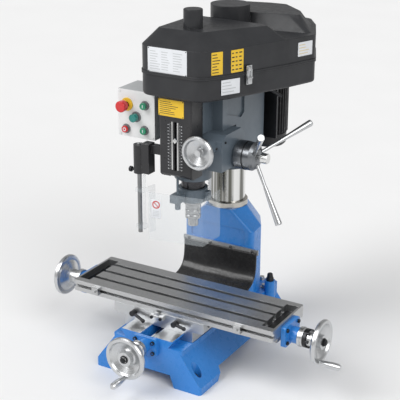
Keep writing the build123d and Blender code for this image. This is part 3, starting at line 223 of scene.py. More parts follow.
CUBE = np.array([[x, y, z] for x in (-1, 1) for y in (-1, 1) for z in (-1, 1)]) / 2
CUBE_FACES = np.array([[0, 1, 3, 2], [4, 6, 7, 5], [0, 4, 5, 1], [2, 3, 7, 6], [0, 2, 6, 4], [1, 5, 7, 3]])


def slabs(centres, along, across, out, sizes):
    """Many small bars at once: each is a cube stretched along its own three directions."""
    centres = np.atleast_2d(centres)
    count = len(centres)
    ways = [np.broadcast_to(np.atleast_2d(way), (count, 3)) for way in (along, across, out)]
    sizes = np.broadcast_to(np.atleast_2d(sizes), (count, 3))
    points = centres[:, None, :] + sum(
        CUBE[None, :, k, None] * sizes[:, None, k, None] * ways[k][:, None, :] for k in range(3))
    faces = CUBE_FACES[None] + 8 * np.arange(count)[:, None, None]
    return points.reshape(-1, 3), faces.reshape(-1, 4).tolist()


def tube(path, radius, up, around=20):
    """A circle carried along a path, square to its tangent, and closed at both ends."""
    path = np.array(path, float)
    tangent = np.gradient(path, axis=0)
    tangent /= np.linalg.norm(tangent, axis=1)[:, None]
    side = np.cross(np.array(up, float), tangent)
    side /= np.linalg.norm(side, axis=1)[:, None]
    rise = np.cross(tangent, side)
    angle = np.linspace(0, TURN, around, endpoint=False)
    ring = np.cos(angle)[None, :, None] * side[:, None] + np.sin(angle)[None, :, None] * rise[:, None]
    points = path[:, None] + radius * ring
    return points.reshape(-1, 3), capped_faces(len(path), around)


SHARP_ANGLE = math.radians(35)


def add_piece(name, parts, finishes, body):
    """Join (points, faces, finish number) parts into one closed mesh, and ride it on a body."""
    faces, numbers, start = [], [], 0
    for points, part_faces, number in parts:
        faces += [[corner + start for corner in face] for face in part_faces]
        numbers += [number] * len(part_faces)
        start += len(points)
    mesh = bpy.data.meshes.new(name)
    mesh.from_pydata(np.concatenate([part[0] for part in parts]).tolist(), [], faces)
    for finish in finishes:
        mesh.materials.append(bpy.data.materials[finish])
    mesh.polygons.foreach_set("material_index", numbers)
    work = bmesh.new()
    work.from_mesh(mesh)
    bmesh.ops.remove_doubles(work, verts=work.verts, dist=2e-6)
    bmesh.ops.recalc_face_normals(work, faces=work.faces)
    work.to_mesh(mesh)
    work.free()
    mesh.shade_smooth()
    mesh.set_sharp_from_angle(angle=SHARP_ANGLE)
    piece = bpy.data.objects.new(name, mesh)
    bpy.context.scene.collection.objects.link(piece)
    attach(piece, body)
    return piece


def numbered(shapes, number=0):
    """The shapes as parts that share one finish number."""
    return [(points, faces, number) for points, faces in shapes]


def add_shapes(name, shapes, finish, body):
    """A piece made of shapes that share one finish."""
    return add_piece(name, numbered(shapes), [finish], body)


# ---- finishes ----
class Finish:
    """One procedural material: a principled shader with grain, mottle, wear and rounded edges."""

    def __init__(self, name, metallic=0.0, edge=0.8 * MM):
        if name in bpy.data.materials:
            raise RuntimeError(f"a material called {name} exists already")
        self.material = bpy.data.materials.new(name)
        self.material.use_nodes = True
        self.tree = self.material.node_tree
        self.tree.nodes.clear()
        output = self.tree.nodes.new("ShaderNodeOutputMaterial")
        self.shader = self.tree.nodes.new("ShaderNodeBsdfPrincipled")
        self.link(self.shader.outputs["BSDF"], output.inputs["Surface"])
        self.shader.inputs["Metallic"].default_value = metallic
        self.place = self.add("ShaderNodeTexCoord").outputs["Object"]
        self.edge = self.add("ShaderNodeBevel")
        self.edge.samples = 4
        self.edge.inputs["Radius"].default_value = edge

    def add(self, kind, **inputs):
        """A node, with its sockets set by name."""
        made = self.tree.nodes.new(kind)
        for key, value in inputs.items():
            made.inputs[key.replace("_", " ")].default_value = value
        return made

    def link(self, source, target):
        self.tree.links.new(source, target)

    def mapped(self, scale=(1, 1, 1), shift=(0, 0, 0)):
        """Object coordinates, shifted and then stretched."""
        mapping = self.add("ShaderNodeMapping")
        mapping.inputs["Scale"].default_value = scale
        mapping.inputs["Location"].default_value = shift
        self.link(self.place, mapping.inputs["Vector"])
        return mapping.outputs["Vector"]

    def noise(self, vector, scale, detail=3.0):
        """Fractal noise over a vector."""
        made = self.add("ShaderNodeTexNoise", Scale=scale, Detail=detail)
        self.link(vector, made.inputs["Vector"])
        return made.outputs["Fac"]

    def rings(self, centre, axis, scale):
        """Noise over the distance from an axis and the place along it: the marks of a lathe tool."""
        keep = [0.0 if k == axis else 1.0 for k in range(3)]
        shift = [-c * k for c, k in zip(centre, keep)]
        length = self.add("ShaderNodeVectorMath")
        length.operation = "LENGTH"
        self.link(self.mapped(keep, shift), length.inputs[0])
        split = self.add("ShaderNodeSeparateXYZ")
        self.link(self.place, split.inputs[0])
        total = self.add("ShaderNodeMath")
        self.link(length.outputs["Value"], total.inputs[0])
        self.link(split.outputs[axis], total.inputs[1])
        made = self.add("ShaderNodeTexNoise")
        made.noise_dimensions = "1D"
        made.inputs["Scale"].default_value = scale
        made.inputs["Detail"].default_value = 4.0
        self.link(total.outputs[0], made.inputs["W"])
        return made.outputs["Fac"]

    def ranged(self, value, low, high, start=0.3, stop=0.7):
        """A value carried from one range to another, and held there."""
        made = self.add("ShaderNodeMapRange")
        for socket, number in zip(("From Min", "From Max", "To Min", "To Max"), (start, stop, low, high)):
            made.inputs[socket].default_value = number
        self.link(value, made.inputs["Value"])
        return made.outputs["Result"]

    def mixed(self, factor, first, second):
        """Two colours, or a socket and a colour, mixed by a factor."""
        made = self.add("ShaderNodeMix")
        made.data_type = "RGBA"
        self.link(factor, made.inputs[0])
        for number, value in ((6, first), (7, second)):
            if isinstance(value, bpy.types.NodeSocket):
                self.link(value, made.inputs[number])
            else:
                made.inputs[number].default_value = (*value[:3], 1.0)
        return made.outputs[2]

    def rough(self, value, low, high):
        self.link(self.ranged(value, low, high), self.shader.inputs["Roughness"])

    def bumped(self, value, strength, depth=0.2 * MM):
        """Height from a value, over the rounded edges."""
        bump = self.add("ShaderNodeBump", Strength=strength, Distance=depth)
        self.link(value, bump.inputs["Height"])
        self.link(self.edge.outputs["Normal"], bump.inputs["Normal"])
        self.link(bump.outputs["Normal"], self.shader.inputs["Normal"])

    def worn(self, colour, bare, width=1.6 * MM):
        """Paint rubbed to bare metal on the sharp edges, in patches."""
        wide = self.add("ShaderNodeBevel")
        wide.samples = 4
        wide.inputs["Radius"].default_value = width
        surface = self.add("ShaderNodeNewGeometry")
        dot = self.add("ShaderNodeVectorMath")
        dot.operation = "DOT_PRODUCT"
        self.link(wide.outputs["Normal"], dot.inputs[0])
        self.link(surface.outputs["Normal"], dot.inputs[1])
        edge = self.ranged(dot.outputs["Value"], 1.0, 0.0, 0.72, 0.93)
        patch = self.ranged(self.noise(self.place, 60.0, 5.0), 0.0, 0.7, 0.52, 0.66)
        both = self.add("ShaderNodeMath")
        both.operation = "MULTIPLY"
        self.link(edge, both.inputs[0])
        self.link(patch, both.inputs[1])
        return self.mixed(both.outputs[0], colour, bare)


def lighter(colour, share):
    """The colour moved towards white, or darker for a negative share."""
    return tuple(c * (1 + share) if share < 0 else c + (1 - c) * share for c in colour)


BARE_IRON = (0.45, 0.46, 0.47)


def painted(name, colour, rough, coat=0.25):
    """Enamel over a casting: slow mottle, orange-peel bump, a thin gloss coat and rubbed edges."""
    finish = Finish(name, edge=1.4 * MM)
    mottle = finish.noise(finish.place, 9.0, 4.0)
    mixed = finish.mixed(mottle, lighter(colour, -0.16), lighter(colour, 0.035))
    finish.link(finish.worn(mixed, BARE_IRON), finish.shader.inputs["Base Color"])
    finish.rough(finish.noise(finish.place, 45.0, 4.0), *rough)
    finish.bumped(finish.noise(finish.place, 420.0, 2.0), 0.10)
    finish.shader.inputs["Coat Weight"].default_value = coat
    finish.shader.inputs["Coat Roughness"].default_value = 0.18
    finish.shader.inputs["Specular IOR Level"].default_value = 0.3


def ground(name, colour, stretch, rough=(0.24, 0.42)):
    """Ground metal: long fine scratches, and a faint change of tone."""
    finish = Finish(name, metallic=1.0, edge=0.5 * MM)
    lines = finish.noise(finish.mapped(stretch), 60.0, 6.0)
    cloud = finish.noise(finish.place, 14.0, 4.0)
    base = finish.mixed(finish.ranged(cloud, 0.0, 1.0), lighter(colour, -0.10), colour)
    finish.link(finish.mixed(finish.ranged(lines, 0.0, 0.35), base, lighter(colour, -0.35)),
                finish.shader.inputs["Base Color"])
    finish.rough(lines, *rough)
    finish.bumped(lines, 0.16, 0.1 * MM)


TOOL_MARKS = 1500.0


def turned(name, colour, centre, axis, rough=(0.2, 0.36)):
    """Lathe-turned metal: fine rings about an axis."""
    finish = Finish(name, metallic=1.0, edge=0.6 * MM)
    lines = finish.rings(centre, axis, TOOL_MARKS)
    cloud = finish.noise(finish.place, 30.0, 4.0)
    base = finish.mixed(finish.ranged(cloud, 0.0, 1.0), lighter(colour, -0.12), colour)
    finish.link(base, finish.shader.inputs["Base Color"])
    finish.rough(lines, *rough)
    finish.bumped(lines, 0.2, 0.06 * MM)


def painted_reflection_banded(name, light, dark):
    """Polished round bar: broad upright stripes of painted reflection, light and dark, in the base colour, as
    a bright bar reflects a room.
    """
    finish = Finish(name, metallic=1.0, edge=0.5 * MM)
    # Painted reflection: light and dark upright stripes mixed into the base colour.
    reflection_bands = finish.noise(finish.mapped((1, 1, 0.01)), 34.0, 2.0)
    finish.link(finish.mixed(finish.ranged(reflection_bands, 0.0, 1.0, 0.42, 0.56), light, dark),
                finish.shader.inputs["Base Color"])
    lines = finish.rings(COLUMN, 2, TOOL_MARKS)
    finish.rough(lines, 0.10, 0.16)
    finish.bumped(lines, 0.05, 0.06 * MM)


def moulded(name, colour, rough=(0.36, 0.5), scale=900.0, strength=0.25, coat=0.0, edge=0.8 * MM):
    """Moulded plastic or rubber: a fine even grain and a faint tone change."""
    finish = Finish(name, edge=edge)
    cloud = finish.noise(finish.place, 16.0, 4.0)
    finish.link(finish.mixed(cloud, lighter(colour, -0.2), lighter(colour, 0.02)),
                finish.shader.inputs["Base Color"])
    finish.rough(finish.noise(finish.place, 70.0, 3.0), *rough)
    finish.bumped(finish.noise(finish.place, scale, 2.0), strength, 0.12 * MM)
    finish.shader.inputs["Specular IOR Level"].default_value = 0.35
    finish.shader.inputs["Coat Weight"].default_value = coat
    finish.shader.inputs["Coat Roughness"].default_value = 0.15


def clear(name):
    """Clear sheet with faint handling marks."""
    finish = Finish(name, edge=0.8 * MM)
    marks = finish.noise(finish.mapped((1, 1, 0.3)), 40.0, 6.0)
    finish.link(finish.mixed(marks, (0.62, 0.68, 0.72), (0.70, 0.75, 0.78)),
                finish.shader.inputs["Base Color"])
    finish.rough(marks, 0.0, 0.04)
    finish.bumped(marks, 0.02)
    finish.shader.inputs["Alpha"].default_value = 0.12
    finish.shader.inputs["IOR"].default_value = 1.4


SILVER = (0.62, 0.63, 0.64)
BRIGHT = (0.78, 0.78, 0.77)
IRON = (0.56, 0.565, 0.57)
DARK = (0.055, 0.056, 0.06)


def make_finishes(colours):
    """Every finish, named by what it is."""
    painted("base_enamel", colours.base, rough=(0.22, 0.36), coat=0.4)
    painted("head_enamel", colours.head, rough=(0.3, 0.42), coat=0.15)
    painted("black_enamel", (0.010, 0.010, 0.012), rough=(0.26, 0.4), coat=0.08)
    painted("white_enamel", (0.80, 0.81, 0.81), rough=(0.3, 0.4))
    painted("box_enamel", (0.55, 0.57, 0.58), rough=(0.35, 0.45))
    moulded("cover_black", colours.cover, rough=(0.36, 0.48), scale=1300.0, strength=0.16, coat=0.05,
            edge=3.5 * MM)
    moulded("cover_rubber", (0.010, 0.010, 0.011), rough=(0.2, 0.34), scale=300.0, strength=0.06, coat=0.2)
    moulded("belt_cloth", (0.022, 0.022, 0.023), rough=(0.6, 0.8), scale=1600.0, strength=0.5)
    buttons = {"button_red": (0.62, 0.012, 0.015), "button_green": (0.006, 0.26, 0.13),
               "button_teal": (0.004, 0.22, 0.19)}
    for name, colour in buttons.items():
        moulded(name, colour, rough=(0.2, 0.3), strength=0.05, coat=0.5)
    moulded("yellow_plate", colours.label, rough=(0.35, 0.5), strength=0.04)
    moulded("white_plate", (0.78, 0.80, 0.83), rough=(0.3, 0.42), strength=0.04)
    moulded("beige_plate", (0.72, 0.62, 0.40), rough=(0.35, 0.5), strength=0.04)
    prints = {"black_print": (0.02, 0.02, 0.022), "red_print": (0.55, 0.03, 0.03),
              "pale_print": (0.55, 0.57, 0.58)}
    for name, colour in prints.items():
        moulded(name, colour, rough=(0.4, 0.5), strength=0.04)
    moulded("bezel_grey", (0.20, 0.20, 0.21), rough=(0.3, 0.4), strength=0.05)
    ground("table_ground", IRON, (1, 30, 30))
    ground("saddle_milled", (0.60, 0.61, 0.62), (30, 1, 30), rough=(0.3, 0.46))
    ground("silver_strip", BRIGHT, (30, 30, 1))
    ground("black_oxide", DARK, (10, 10, 10), rough=(0.34, 0.5))
    ground("steel_fittings", SILVER, (8, 8, 8))
    ground("bronze_cast", (0.42, 0.26, 0.10), (10, 10, 10))
    # The column's base colour carries painted reflections in light and dark upright stripes.
    painted_reflection_banded("column_polish", BRIGHT, (0.13, 0.13, 0.115))
    turned("ring_machined", (0.55, 0.53, 0.49), COLUMN, 2)
    turned("spindle_turned", (0.40, 0.40, 0.40), SPINDLE, 2, rough=(0.14, 0.24))
    turned("quill_black", (0.07, 0.07, 0.075), SPINDLE, 2, rough=(0.2, 0.3))
    turned("idler_turned", SILVER, middle("idler_pulley"), 2)
    turned("motor_turned", SILVER, middle("motor_pulley"), 2)
    turned("hub_turned", (0.24, 0.25, 0.265), HUB, 0, rough=(0.26, 0.4))
    turned("knob_turned", BRIGHT, HUB, 0)
    turned("fine_turned", SILVER, FINE_FEED, 1)
    turned("x_turned", SILVER, X_SCREW, 0)
    turned("y_turned", SILVER, Y_SCREW, 1)
    turned("x_screw_turned", BRIGHT, X_SCREW, 0)
    turned("y_screw_turned", BRIGHT, Y_SCREW, 1)
    turned("lever_turned", SILVER, HUB, 0, rough=(0.2, 0.34))
    ground("dark_ground", (0.26, 0.265, 0.27), (8, 8, 8))
    clear("guard_clear")


NODE_FINISH = {
    "base_enamel": ("base_casting", "column_stand", "y_bracket", "x_brackets"),
    "head_enamel": ("head_casting", "feed_housing", "spring_cover", "quill_collar"),
    "black_enamel": ("scale_panel", "guard_holder", "motor"),
    "cover_black": ("belt_tray", "belt_lid", "drawbar_cap"),
    "column_polish": ("column_tube",),
    "ring_machined": ("column_ring",),
    "cover_rubber": ("way_cover",),
    "table_ground": ("table", "left_table_stop", "right_table_stop", "flap_strip"),
    "saddle_milled": ("saddle", "column_rack"),
    "bronze_cast": ("feed_nuts",),
    "black_oxide": ("left_lock_lever", "right_lock_lever", "motor_plate", "tension_lever", "quill_lock"),
    "x_turned": ("x_dials", "x_handwheels", "left_handle", "right_handle"),
    "y_turned": ("y_dial", "y_handwheel", "y_handle"),
    "x_screw_turned": ("x_leadscrew",),
    "y_screw_turned": ("y_leadscrew",),
    "spindle_turned": ("spindle", "collet_chuck", "spindle_pulley"),
    "quill_black": ("quill",),
    "idler_turned": ("idler_pulley",),
    "motor_turned": ("motor_pulley",),
    "hub_turned": ("feed_hub",),
    "lever_turned": ("feed_levers",),
    "dark_ground": ("guard_post",),
    "knob_turned": ("clutch_knob",),
    "fine_turned": ("fine_feed_wheel",),
    "steel_fittings": ("lid_latch", "elevation_crank"),
    "belt_cloth": ("drive_belts",),
    "box_enamel": ("control_box",),
    "white_enamel": ("control_panel",),
    "button_red": ("emergency_stop", "stop_button"),
    "button_green": ("upper_start_button", "lower_start_button"),
    "button_teal": ("selector_button",),
    "guard_clear": ("guard_shield",),
}


class MILL_OT_finishes(bpy.types.Operator):
    """Make every finish and put it on the CAD pieces"""

    bl_idname = "mill.finishes"
    bl_label = "Finishes"

    def execute(self, context):
        make_finishes(context.scene.mill_colours)
        done = set()
        for finish, nodes in NODE_FINISH.items():
            for node in nodes:
                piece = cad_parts[node]
                if not piece.material_slots:
                    piece.data.materials.append(None)
                for place in piece.material_slots:
                    place.material = bpy.data.materials[finish]
                done.add(node)
        missing = set(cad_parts) - done
        if missing:
            raise RuntimeError(f"no finish for {sorted(missing)}")
        return {"FINISHED"}


# ---- base ----
STAND_BOLTS = [(side * x * MM, y * MM) for x, y in ((128, 238), (92, 292)) for side in (-1, 1)]
DECK_Z = 134 * MM
STRIP_PLACES = (-0.85, -0.28, 0.28, 0.85)
BRACKET_THICKNESS = 14 * MM
BRACKET_SCREWS = [(side * 32 * MM, z * MM) for side in (-1, 1) for z in (110, 146)]
BOSS_TOP = (159 * MM, COLUMN[1] + 14 * MM, 174 * MM)
WAY_X, WAY_WIDTH, WAY_TOP = 58.75 * MM, 68 * MM, 159.07 * MM


class MILL_OT_base_fittings(bpy.types.Operator):
    """Stand bolts, strip screws, bracket screws, the boss's cap and the milled faces of the ways"""

    bl_idname = "mill.base_fittings"
    bl_label = "Base fittings"

    def execute(self, context):
        bolts = [hex_bolt((x, y, DECK_Z), Z, 9.5 * MM, 11 * MM) for x, y in STAND_BOLTS]
        add_shapes("stand_bolts", bolts, "steel_fittings", "base")
        strip_low, strip_high = corners("flap_strip")
        height = (strip_low[2] + strip_high[2]) / 2
        middle_x, half = (strip_low[0] + strip_high[0]) / 2, (strip_high[0] - strip_low[0]) / 2
        screws = [pan_screw((middle_x + place * half, strip_low[1] + 2.4 * MM, height), -Y, 6 * MM, 3 * MM)
                  for place in STRIP_PLACES]
        add_shapes("strip_screws", screws, "black_oxide", "base")
        front, back = corners("base_casting")[0][1], corners("column_stand")[0][1]
        screws = [socket_screw((x, front - BRACKET_THICKNESS, z), -Y, 6.4 * MM, 6 * MM)
                  for x, z in BRACKET_SCREWS]
        add_shapes("y_bracket_screws", screws, "black_oxide", "base")
        cap = spun(BOSS_TOP, Z, mm((0, 0), (13, 0), (13, 9), (11, 11), (9, 24), (7, 26), (0, 26)), 40)
        add_shapes("boss_cap", [cap], "black_oxide", "base")
        centres = np.array([[side * WAY_X, (front + back) / 2, WAY_TOP] for side in (-1, 1)])
        faces = slabs(centres, Y, X, Z, ((back - front) - 2 * MM, WAY_WIDTH, 0.14 * MM))
        add_shapes("way_faces", [faces], "saddle_milled", "base")
        return {"FINISHED"}


class MILL_OT_way_cover(bpy.types.Operator):
    """The rubber flap over the rear ways"""

    bl_idname = "mill.way_cover"
    bl_label = "Way cover"

    def execute(self, context):
        sizes = context.scene.mill_sizes
        strip_low, strip_high = corners("flap_strip")
        middle_x = (strip_low[0] + strip_high[0]) / 2
        half = (strip_high[0] - strip_low[0]) / 2 - 4 * MM
        start_y = strip_low[1] + 2 * MM
        rear = corners("saddle")[1][1] + 1.5 * MM
        points = np.array([[start_y, strip_low[2] + 6 * MM], [start_y - 1 * MM, 198 * MM],
                           [start_y - 10 * MM, 184 * MM], [rear, 187 * MM]])
        # A cubic curve in the YZ plane carried across X; the free edges lift by the fourth power of the
        # offset.
        t = np.linspace(0, 1, 56)[:, None]
        curve = ((1 - t) ** 3 * points[0] + 3 * t * (1 - t) ** 2 * points[1]
                 + 3 * t ** 2 * (1 - t) * points[2] + t ** 3 * points[3])
        x = np.linspace(-half, half, 60)
        ripple = 0.8 * MM * np.cos(x / half * math.pi * 2.5)[None, :] * np.sin(t * math.pi) ** 2
        lift = 2 * MM * (x / half)[None, :] ** 4 * np.sin(t * math.pi)
        grid = np.empty((len(t), len(x), 3))
        grid[..., 0] = middle_x + x[None, :]
        grid[..., 1] = curve[:, :1] + ripple * 0.6
        grid[..., 2] = curve[:, 1:] + lift + ripple
        mesh = bpy.data.meshes.new("rubber_flap")
        mesh.from_pydata(grid.reshape(-1, 3).tolist(), [], grid_faces(len(t), len(x), wrap=False))
        mesh.materials.append(bpy.data.materials["cover_rubber"])
        mesh.shade_smooth()
        flap = bpy.data.objects.new("rubber_flap", mesh)
        context.scene.collection.objects.link(flap)
        wall = flap.modifiers.new("wall", "SOLIDIFY")
        wall.thickness = sizes.flap
        wall.offset = 0.0
        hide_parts("way_cover")
        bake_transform(flap)
        return {"FINISHED"}


# ---- table, saddle and screws ----
class MILL_OT_saddle_fittings(bpy.types.Operator):
    """The stop bracket and screws on the saddle, and dark plates on the floors of the table's end pockets,
    for oil and painted shade
    """

    bl_idname = "mill.saddle_fittings"
    bl_label = "Saddle fittings"

    def execute(self, context):
        front = corners("saddle")[0][1]
        base = plate((0, front, 194 * MM), X, Z, (48 * MM, 15 * MM), 13 * MM, 3 * MM, 1 * MM)
        post = plate((-2 * MM, front - 4 * MM, 202 * MM), X, Z, (17 * MM, 20 * MM), 7 * MM, 3 * MM, 1 * MM)
        add_shapes("stop_bracket", [base, post], "steel_fittings", "saddle")
        screws = [socket_screw((x * MM, front - 12.8 * MM, 194 * MM), -Y, 5.2 * MM, 4.4 * MM)
                  for x in (-16, 16)]
        right, rear, _ = corners("saddle")[1]
        places = np.linspace(front + 30 * MM, rear - 30 * MM, 4)
        screws += [socket_screw((right, y, 190 * MM), X, 4.4 * MM, 2.5 * MM) for y in places]
        # Black plates on the pocket floors: partly oil, partly painted shade for the pockets' depth.
        oily_shaded_floors = []
        for edge, way in ((TABLE_LOW[0], 1), (TABLE_HIGH[0], -1)):
            place = np.array([edge + way * 27 * MM, X_SCREW[1], TABLE_HIGH[2] - 21.9 * MM])
            oily_shaded_floors.append(slabs(place, X, Y, Z, (39.4 * MM, 167.4 * MM, 0.2 * MM)))
        add_shapes("table_floors_oil_and_painted_shade", oily_shaded_floors, "black_oxide", "table")
        add_shapes("saddle_screws", screws, "black_oxide", "saddle")
        return {"FINISHED"}


def dial_marks(name, origin, axis, radius, start, way, body):
    """Graduation lines round a dial: small bars at equal angles, every fifth one longer."""
    count = 50
    first, second, axis = across_axis(axis)
    angle = np.arange(count) * TURN / count
    out = np.cos(angle)[:, None] * first + np.sin(angle)[:, None] * second
    along = np.tile(axis, (count, 1))
    across = np.cross(axis, out)
    length = np.where(np.arange(count) % 5 == 0, 7.0, 4.0) * MM
    width = bpy.context.scene.mill_sizes.tick
    centres = np.array(origin) + radius * out + (start + way * length[:, None] / 2) * axis
    sizes = np.stack([length, np.full(count, width), np.full(count, 0.24 * MM)], -1)
    return add_shapes(name, [slabs(centres, along, across, out, sizes)], "black_print", body)


class MILL_OT_dial_marks(bpy.types.Operator):
    """Graduations on the three dials, and the clutch ring on the right-hand end"""

    bl_idname = "mill.dial_marks"
    bl_label = "Dial marks"

    def execute(self, context):
        low, high = corners("x_dials")
        radius = (high[2] - low[2]) / 2
        left = np.array([low[0], X_SCREW[1], X_SCREW[2]])
        right = np.array([high[0], X_SCREW[1], X_SCREW[2]])
        dial_marks("left_dial_marks", left, X, radius, 4 * MM, 1, "x_screw")
        dial_marks("right_dial_marks", right, X, radius, -4 * MM, -1, "x_screw")
        low, high = corners("y_dial")
        front = np.array([Y_SCREW[0], low[1], Y_SCREW[2]])
        dial_marks("front_dial_marks", front, Y, (high[2] - low[2]) / 2, 9 * MM, 1, "y_screw")
        ring = spun(right, X, mm((24, 1), (29, 1), (29, 11), (26, 13), (24, 13), (24, 1)))
        pegs = [spun(right + 1 * MM * X + 24.6 * MM * (math.cos(a) * Y + math.sin(a) * Z), X,
                     mm((0, 0), (5, 0), (5, 19), (4, 20), (0, 20)), 24)
                for a in np.arange(6) * TURN / 6]
        add_shapes("clutch_ring", [ring] + pegs, "black_oxide", "x_screw")
        return {"FINISHED"}


class MILL_OT_screw_ends(bpy.types.Operator):
    """Nuts that hold the handwheels, and the screws of the end brackets"""

    bl_idname = "mill.screw_ends"
    bl_label = "Screw ends"

    def execute(self, context):
        nut = mm((0, 0), (13, 0), (13, 1.5), (10.5, 1.5, 6), (10.5, 7, 6), (8.5, 8.5), (6, 8.5), (6, 10),
                 (0, 10))
        wheels_low, wheels_high = corners("x_handwheels")
        ends = [((wheels_high[0] + 0.5 * MM, X_SCREW[1], X_SCREW[2]), X),
                ((wheels_low[0] - 0.5 * MM, X_SCREW[1], X_SCREW[2]), -X)]
        nuts = [spun(place, axis, nut, 48) for place, axis in ends]
        add_shapes("x_wheel_nuts", nuts, "black_oxide", "x_screw")
        front = (Y_SCREW[0], corners("y_handwheel")[0][1] - 0.5 * MM, Y_SCREW[2])
        add_shapes("y_wheel_nut", [spun(front, -Y, nut, 48)], "black_oxide", "y_screw")
        screws = []
        for edge, axis in ((TABLE_LOW[0] - 15 * MM, -X), (TABLE_HIGH[0] + 15 * MM, X)):
            screws += [socket_screw((edge, X_SCREW[1] + dy * MM, z * MM), axis, 6 * MM, 5.5 * MM)
                       for dy in (-38, 38) for z in (181, 223)]
        add_shapes("x_bracket_screws", screws, "black_oxide", "table")
        return {"FINISHED"}


# ---- head ----
SCALE_LOW, SCALE_HIGH = 647.0, 799.0
POINTER_Z, POINTER_OUT = 741 * MM, 2.9 * MM


class MILL_OT_depth_scale(bpy.types.Operator):
    """The depth scale's strips, graduations, pointer face and yellow plate"""

    bl_idname = "mill.depth_scale"
    bl_label = "Depth scale"

    def execute(self, context):
        front = PANEL_FRONT
        middle_z = (SCALE_LOW + SCALE_HIGH) / 2 * MM
        length = (SCALE_HIGH - SCALE_LOW) * MM
        strips = [plate((x * MM, front, middle_z), X, Z, (4.2 * MM, length), 0.2 * MM, 0.6 * MM, 0.05 * MM)
                  for x in (-11, 9)]
        add_shapes("scale_strips", strips, "silver_strip", "head")
        heights = np.arange(SCALE_LOW + 2, SCALE_HIGH, 5.0) * MM
        long = np.arange(len(heights)) % 2 == 0
        marks = []
        for x, way in ((-17, -1), (15, 1)):
            reach = np.where(long, 4.5, 2.5) * MM
            centres = np.stack([x * MM + way * reach / 2, np.full(len(heights), front), heights], -1)
            sizes = np.stack([reach, np.full(len(heights), 0.6 * MM), np.full(len(heights), 0.3 * MM)], -1)
            marks.append(slabs(centres, X, Z, -Y, sizes))
        dots = heights[long]
        for x in (-25, 23):
            centres = np.stack([np.full(len(dots), x * MM), np.full(len(dots), front), dots], -1)
            marks.append(slabs(centres, X, Z, -Y, (2.2 * MM, 2.6 * MM, 0.3 * MM)))
        add_shapes("scale_marks", marks, "white_plate", "head")
        tip = np.array([0, front - POINTER_OUT, POINTER_Z])
        face = plate(tip, (X + Z) / math.sqrt(2), (Z - X) / math.sqrt(2), (12 * MM, 12 * MM),
                     0.4 * MM, 0.6 * MM, 0.1 * MM)
        add_shapes("pointer_face", [face], "silver_strip", "quill")
        centre = np.array([-14 * MM, front, 841.5 * MM])
        printed_plate("scale_plate", centre, X, Z, (90 * MM, 53 * MM), "yellow_plate", "head", rows=7)
        return {"FINISHED"}


PRINT_SEED = 3


def printed_plate(name, centre, right, up, size, ground_finish, body, rows=6, columns=1, rivets=True,
                  print_finish="black_print", border=5 * MM):
    """A thin plate with rows of short bars in place of words, and a rivet at each corner."""
    sizes = bpy.context.scene.mill_sizes
    right, up = np.array(right, float), np.array(up, float)
    out = np.cross(right, up)
    parts = numbered([plate(centre, right, up, size, sizes.plate, 1.6 * MM, 0.15 * MM)])
    chance = np.random.default_rng(PRINT_SEED)
    pitch = (size[1] - 2 * border) / rows
    width = (size[0] - 2 * border) / columns
    for row in range(rows):
        for column in range(columns):
            share = chance.uniform(0.45, 0.9)
            left = -size[0] / 2 + border + column * width
            across = left + width * share / 2
            height = size[1] / 2 - border - pitch * (row + 0.5)
            place = np.array(centre) + across * right + height * up + sizes.plate * out
            parts += numbered([slabs(place, right, up, out, (width * share, pitch * 0.3, 0.16 * MM))], 1)
    if rivets:
        reach = (size[0] / 2 - 3 * MM, size[1] / 2 - 3 * MM)
        spots = [(sx * reach[0], sz * reach[1]) for sx in (-1, 1) for sz in (-1, 1)]
        parts += numbered([pan_screw(np.array(centre) + a * right + b * up + sizes.plate * out, out,
                                     1.7 * MM, 0.9 * MM) for a, b in spots], 2)
    return add_piece(name, parts, [ground_finish, print_finish, "black_oxide"], body)


# The belt cover's outline, seen from above: its front, then the corner, the right wall and the rear wall.
CORNER_START = np.array([98, -148, 0]) * MM
WALL_START, WALL_END = np.array([150, -62, 0]) * MM, np.array([240, 145, 0]) * MM
REAR_END = np.array([278, 255, 0]) * MM
LID_PLATE_Z, TRAY_PLATE_Z = 990 * MM, 915 * MM


def towards(start, end):
    """The unit vector from one point to another."""
    return (end - start) / np.linalg.norm(end - start)


WALL_WAY = towards(WALL_START, WALL_END)
CORNER_WAY = towards(CORNER_START, WALL_START)


class MILL_OT_cover_plates(bpy.types.Operator):
    """Plates on the belt cover and its tray"""

    bl_idname = "mill.cover_plates"
    bl_label = "Cover plates"

    def execute(self, context):
        spot = (-15 * MM, CORNER_START[1], LID_PLATE_Z - 1 * MM)
        printed_plate("type_plate", spot, X, Z, (136 * MM, 76 * MM),
                      "white_plate", "lid", rows=8, columns=3, print_finish="pale_print", border=8 * MM)
        spot = CORNER_START + CORNER_WAY * 56 * MM + LID_PLATE_Z * Z
        printed_plate("word_plate", spot, CORNER_WAY, Z, (38 * MM, 68 * MM), "yellow_plate", "lid",
                      rows=7, rivets=False, border=3 * MM)
        spot = WALL_START + WALL_WAY * 26 * MM + LID_PLATE_Z * Z
        printed_plate("sign_plate", spot, WALL_WAY, Z, (46 * MM, 68 * MM), "yellow_plate", "lid",
                      rows=5, columns=3, rivets=False, border=3 * MM)
        bend = towards(-CORNER_WAY, WALL_WAY)
        spot = WALL_START + WALL_WAY * 2 * MM + TRAY_PLATE_Z * Z
        printed_plate("tray_plate", spot, bend, Z, (66 * MM, 46 * MM), "white_plate", "head",
                      rows=4, rivets=False, border=4 * MM, print_finish="pale_print")
        rear_way = towards(WALL_END, REAR_END)
        spot = WALL_END + rear_way * 70 * MM + LID_PLATE_Z * Z
        printed_plate("rear_plate", spot, rear_way, Z, (62 * MM, 44 * MM), "white_plate", "lid",
                      rows=4, rivets=False, border=4 * MM, print_finish="beige_plate")
        return {"FINISHED"}


LATCH_Z = 943 * MM


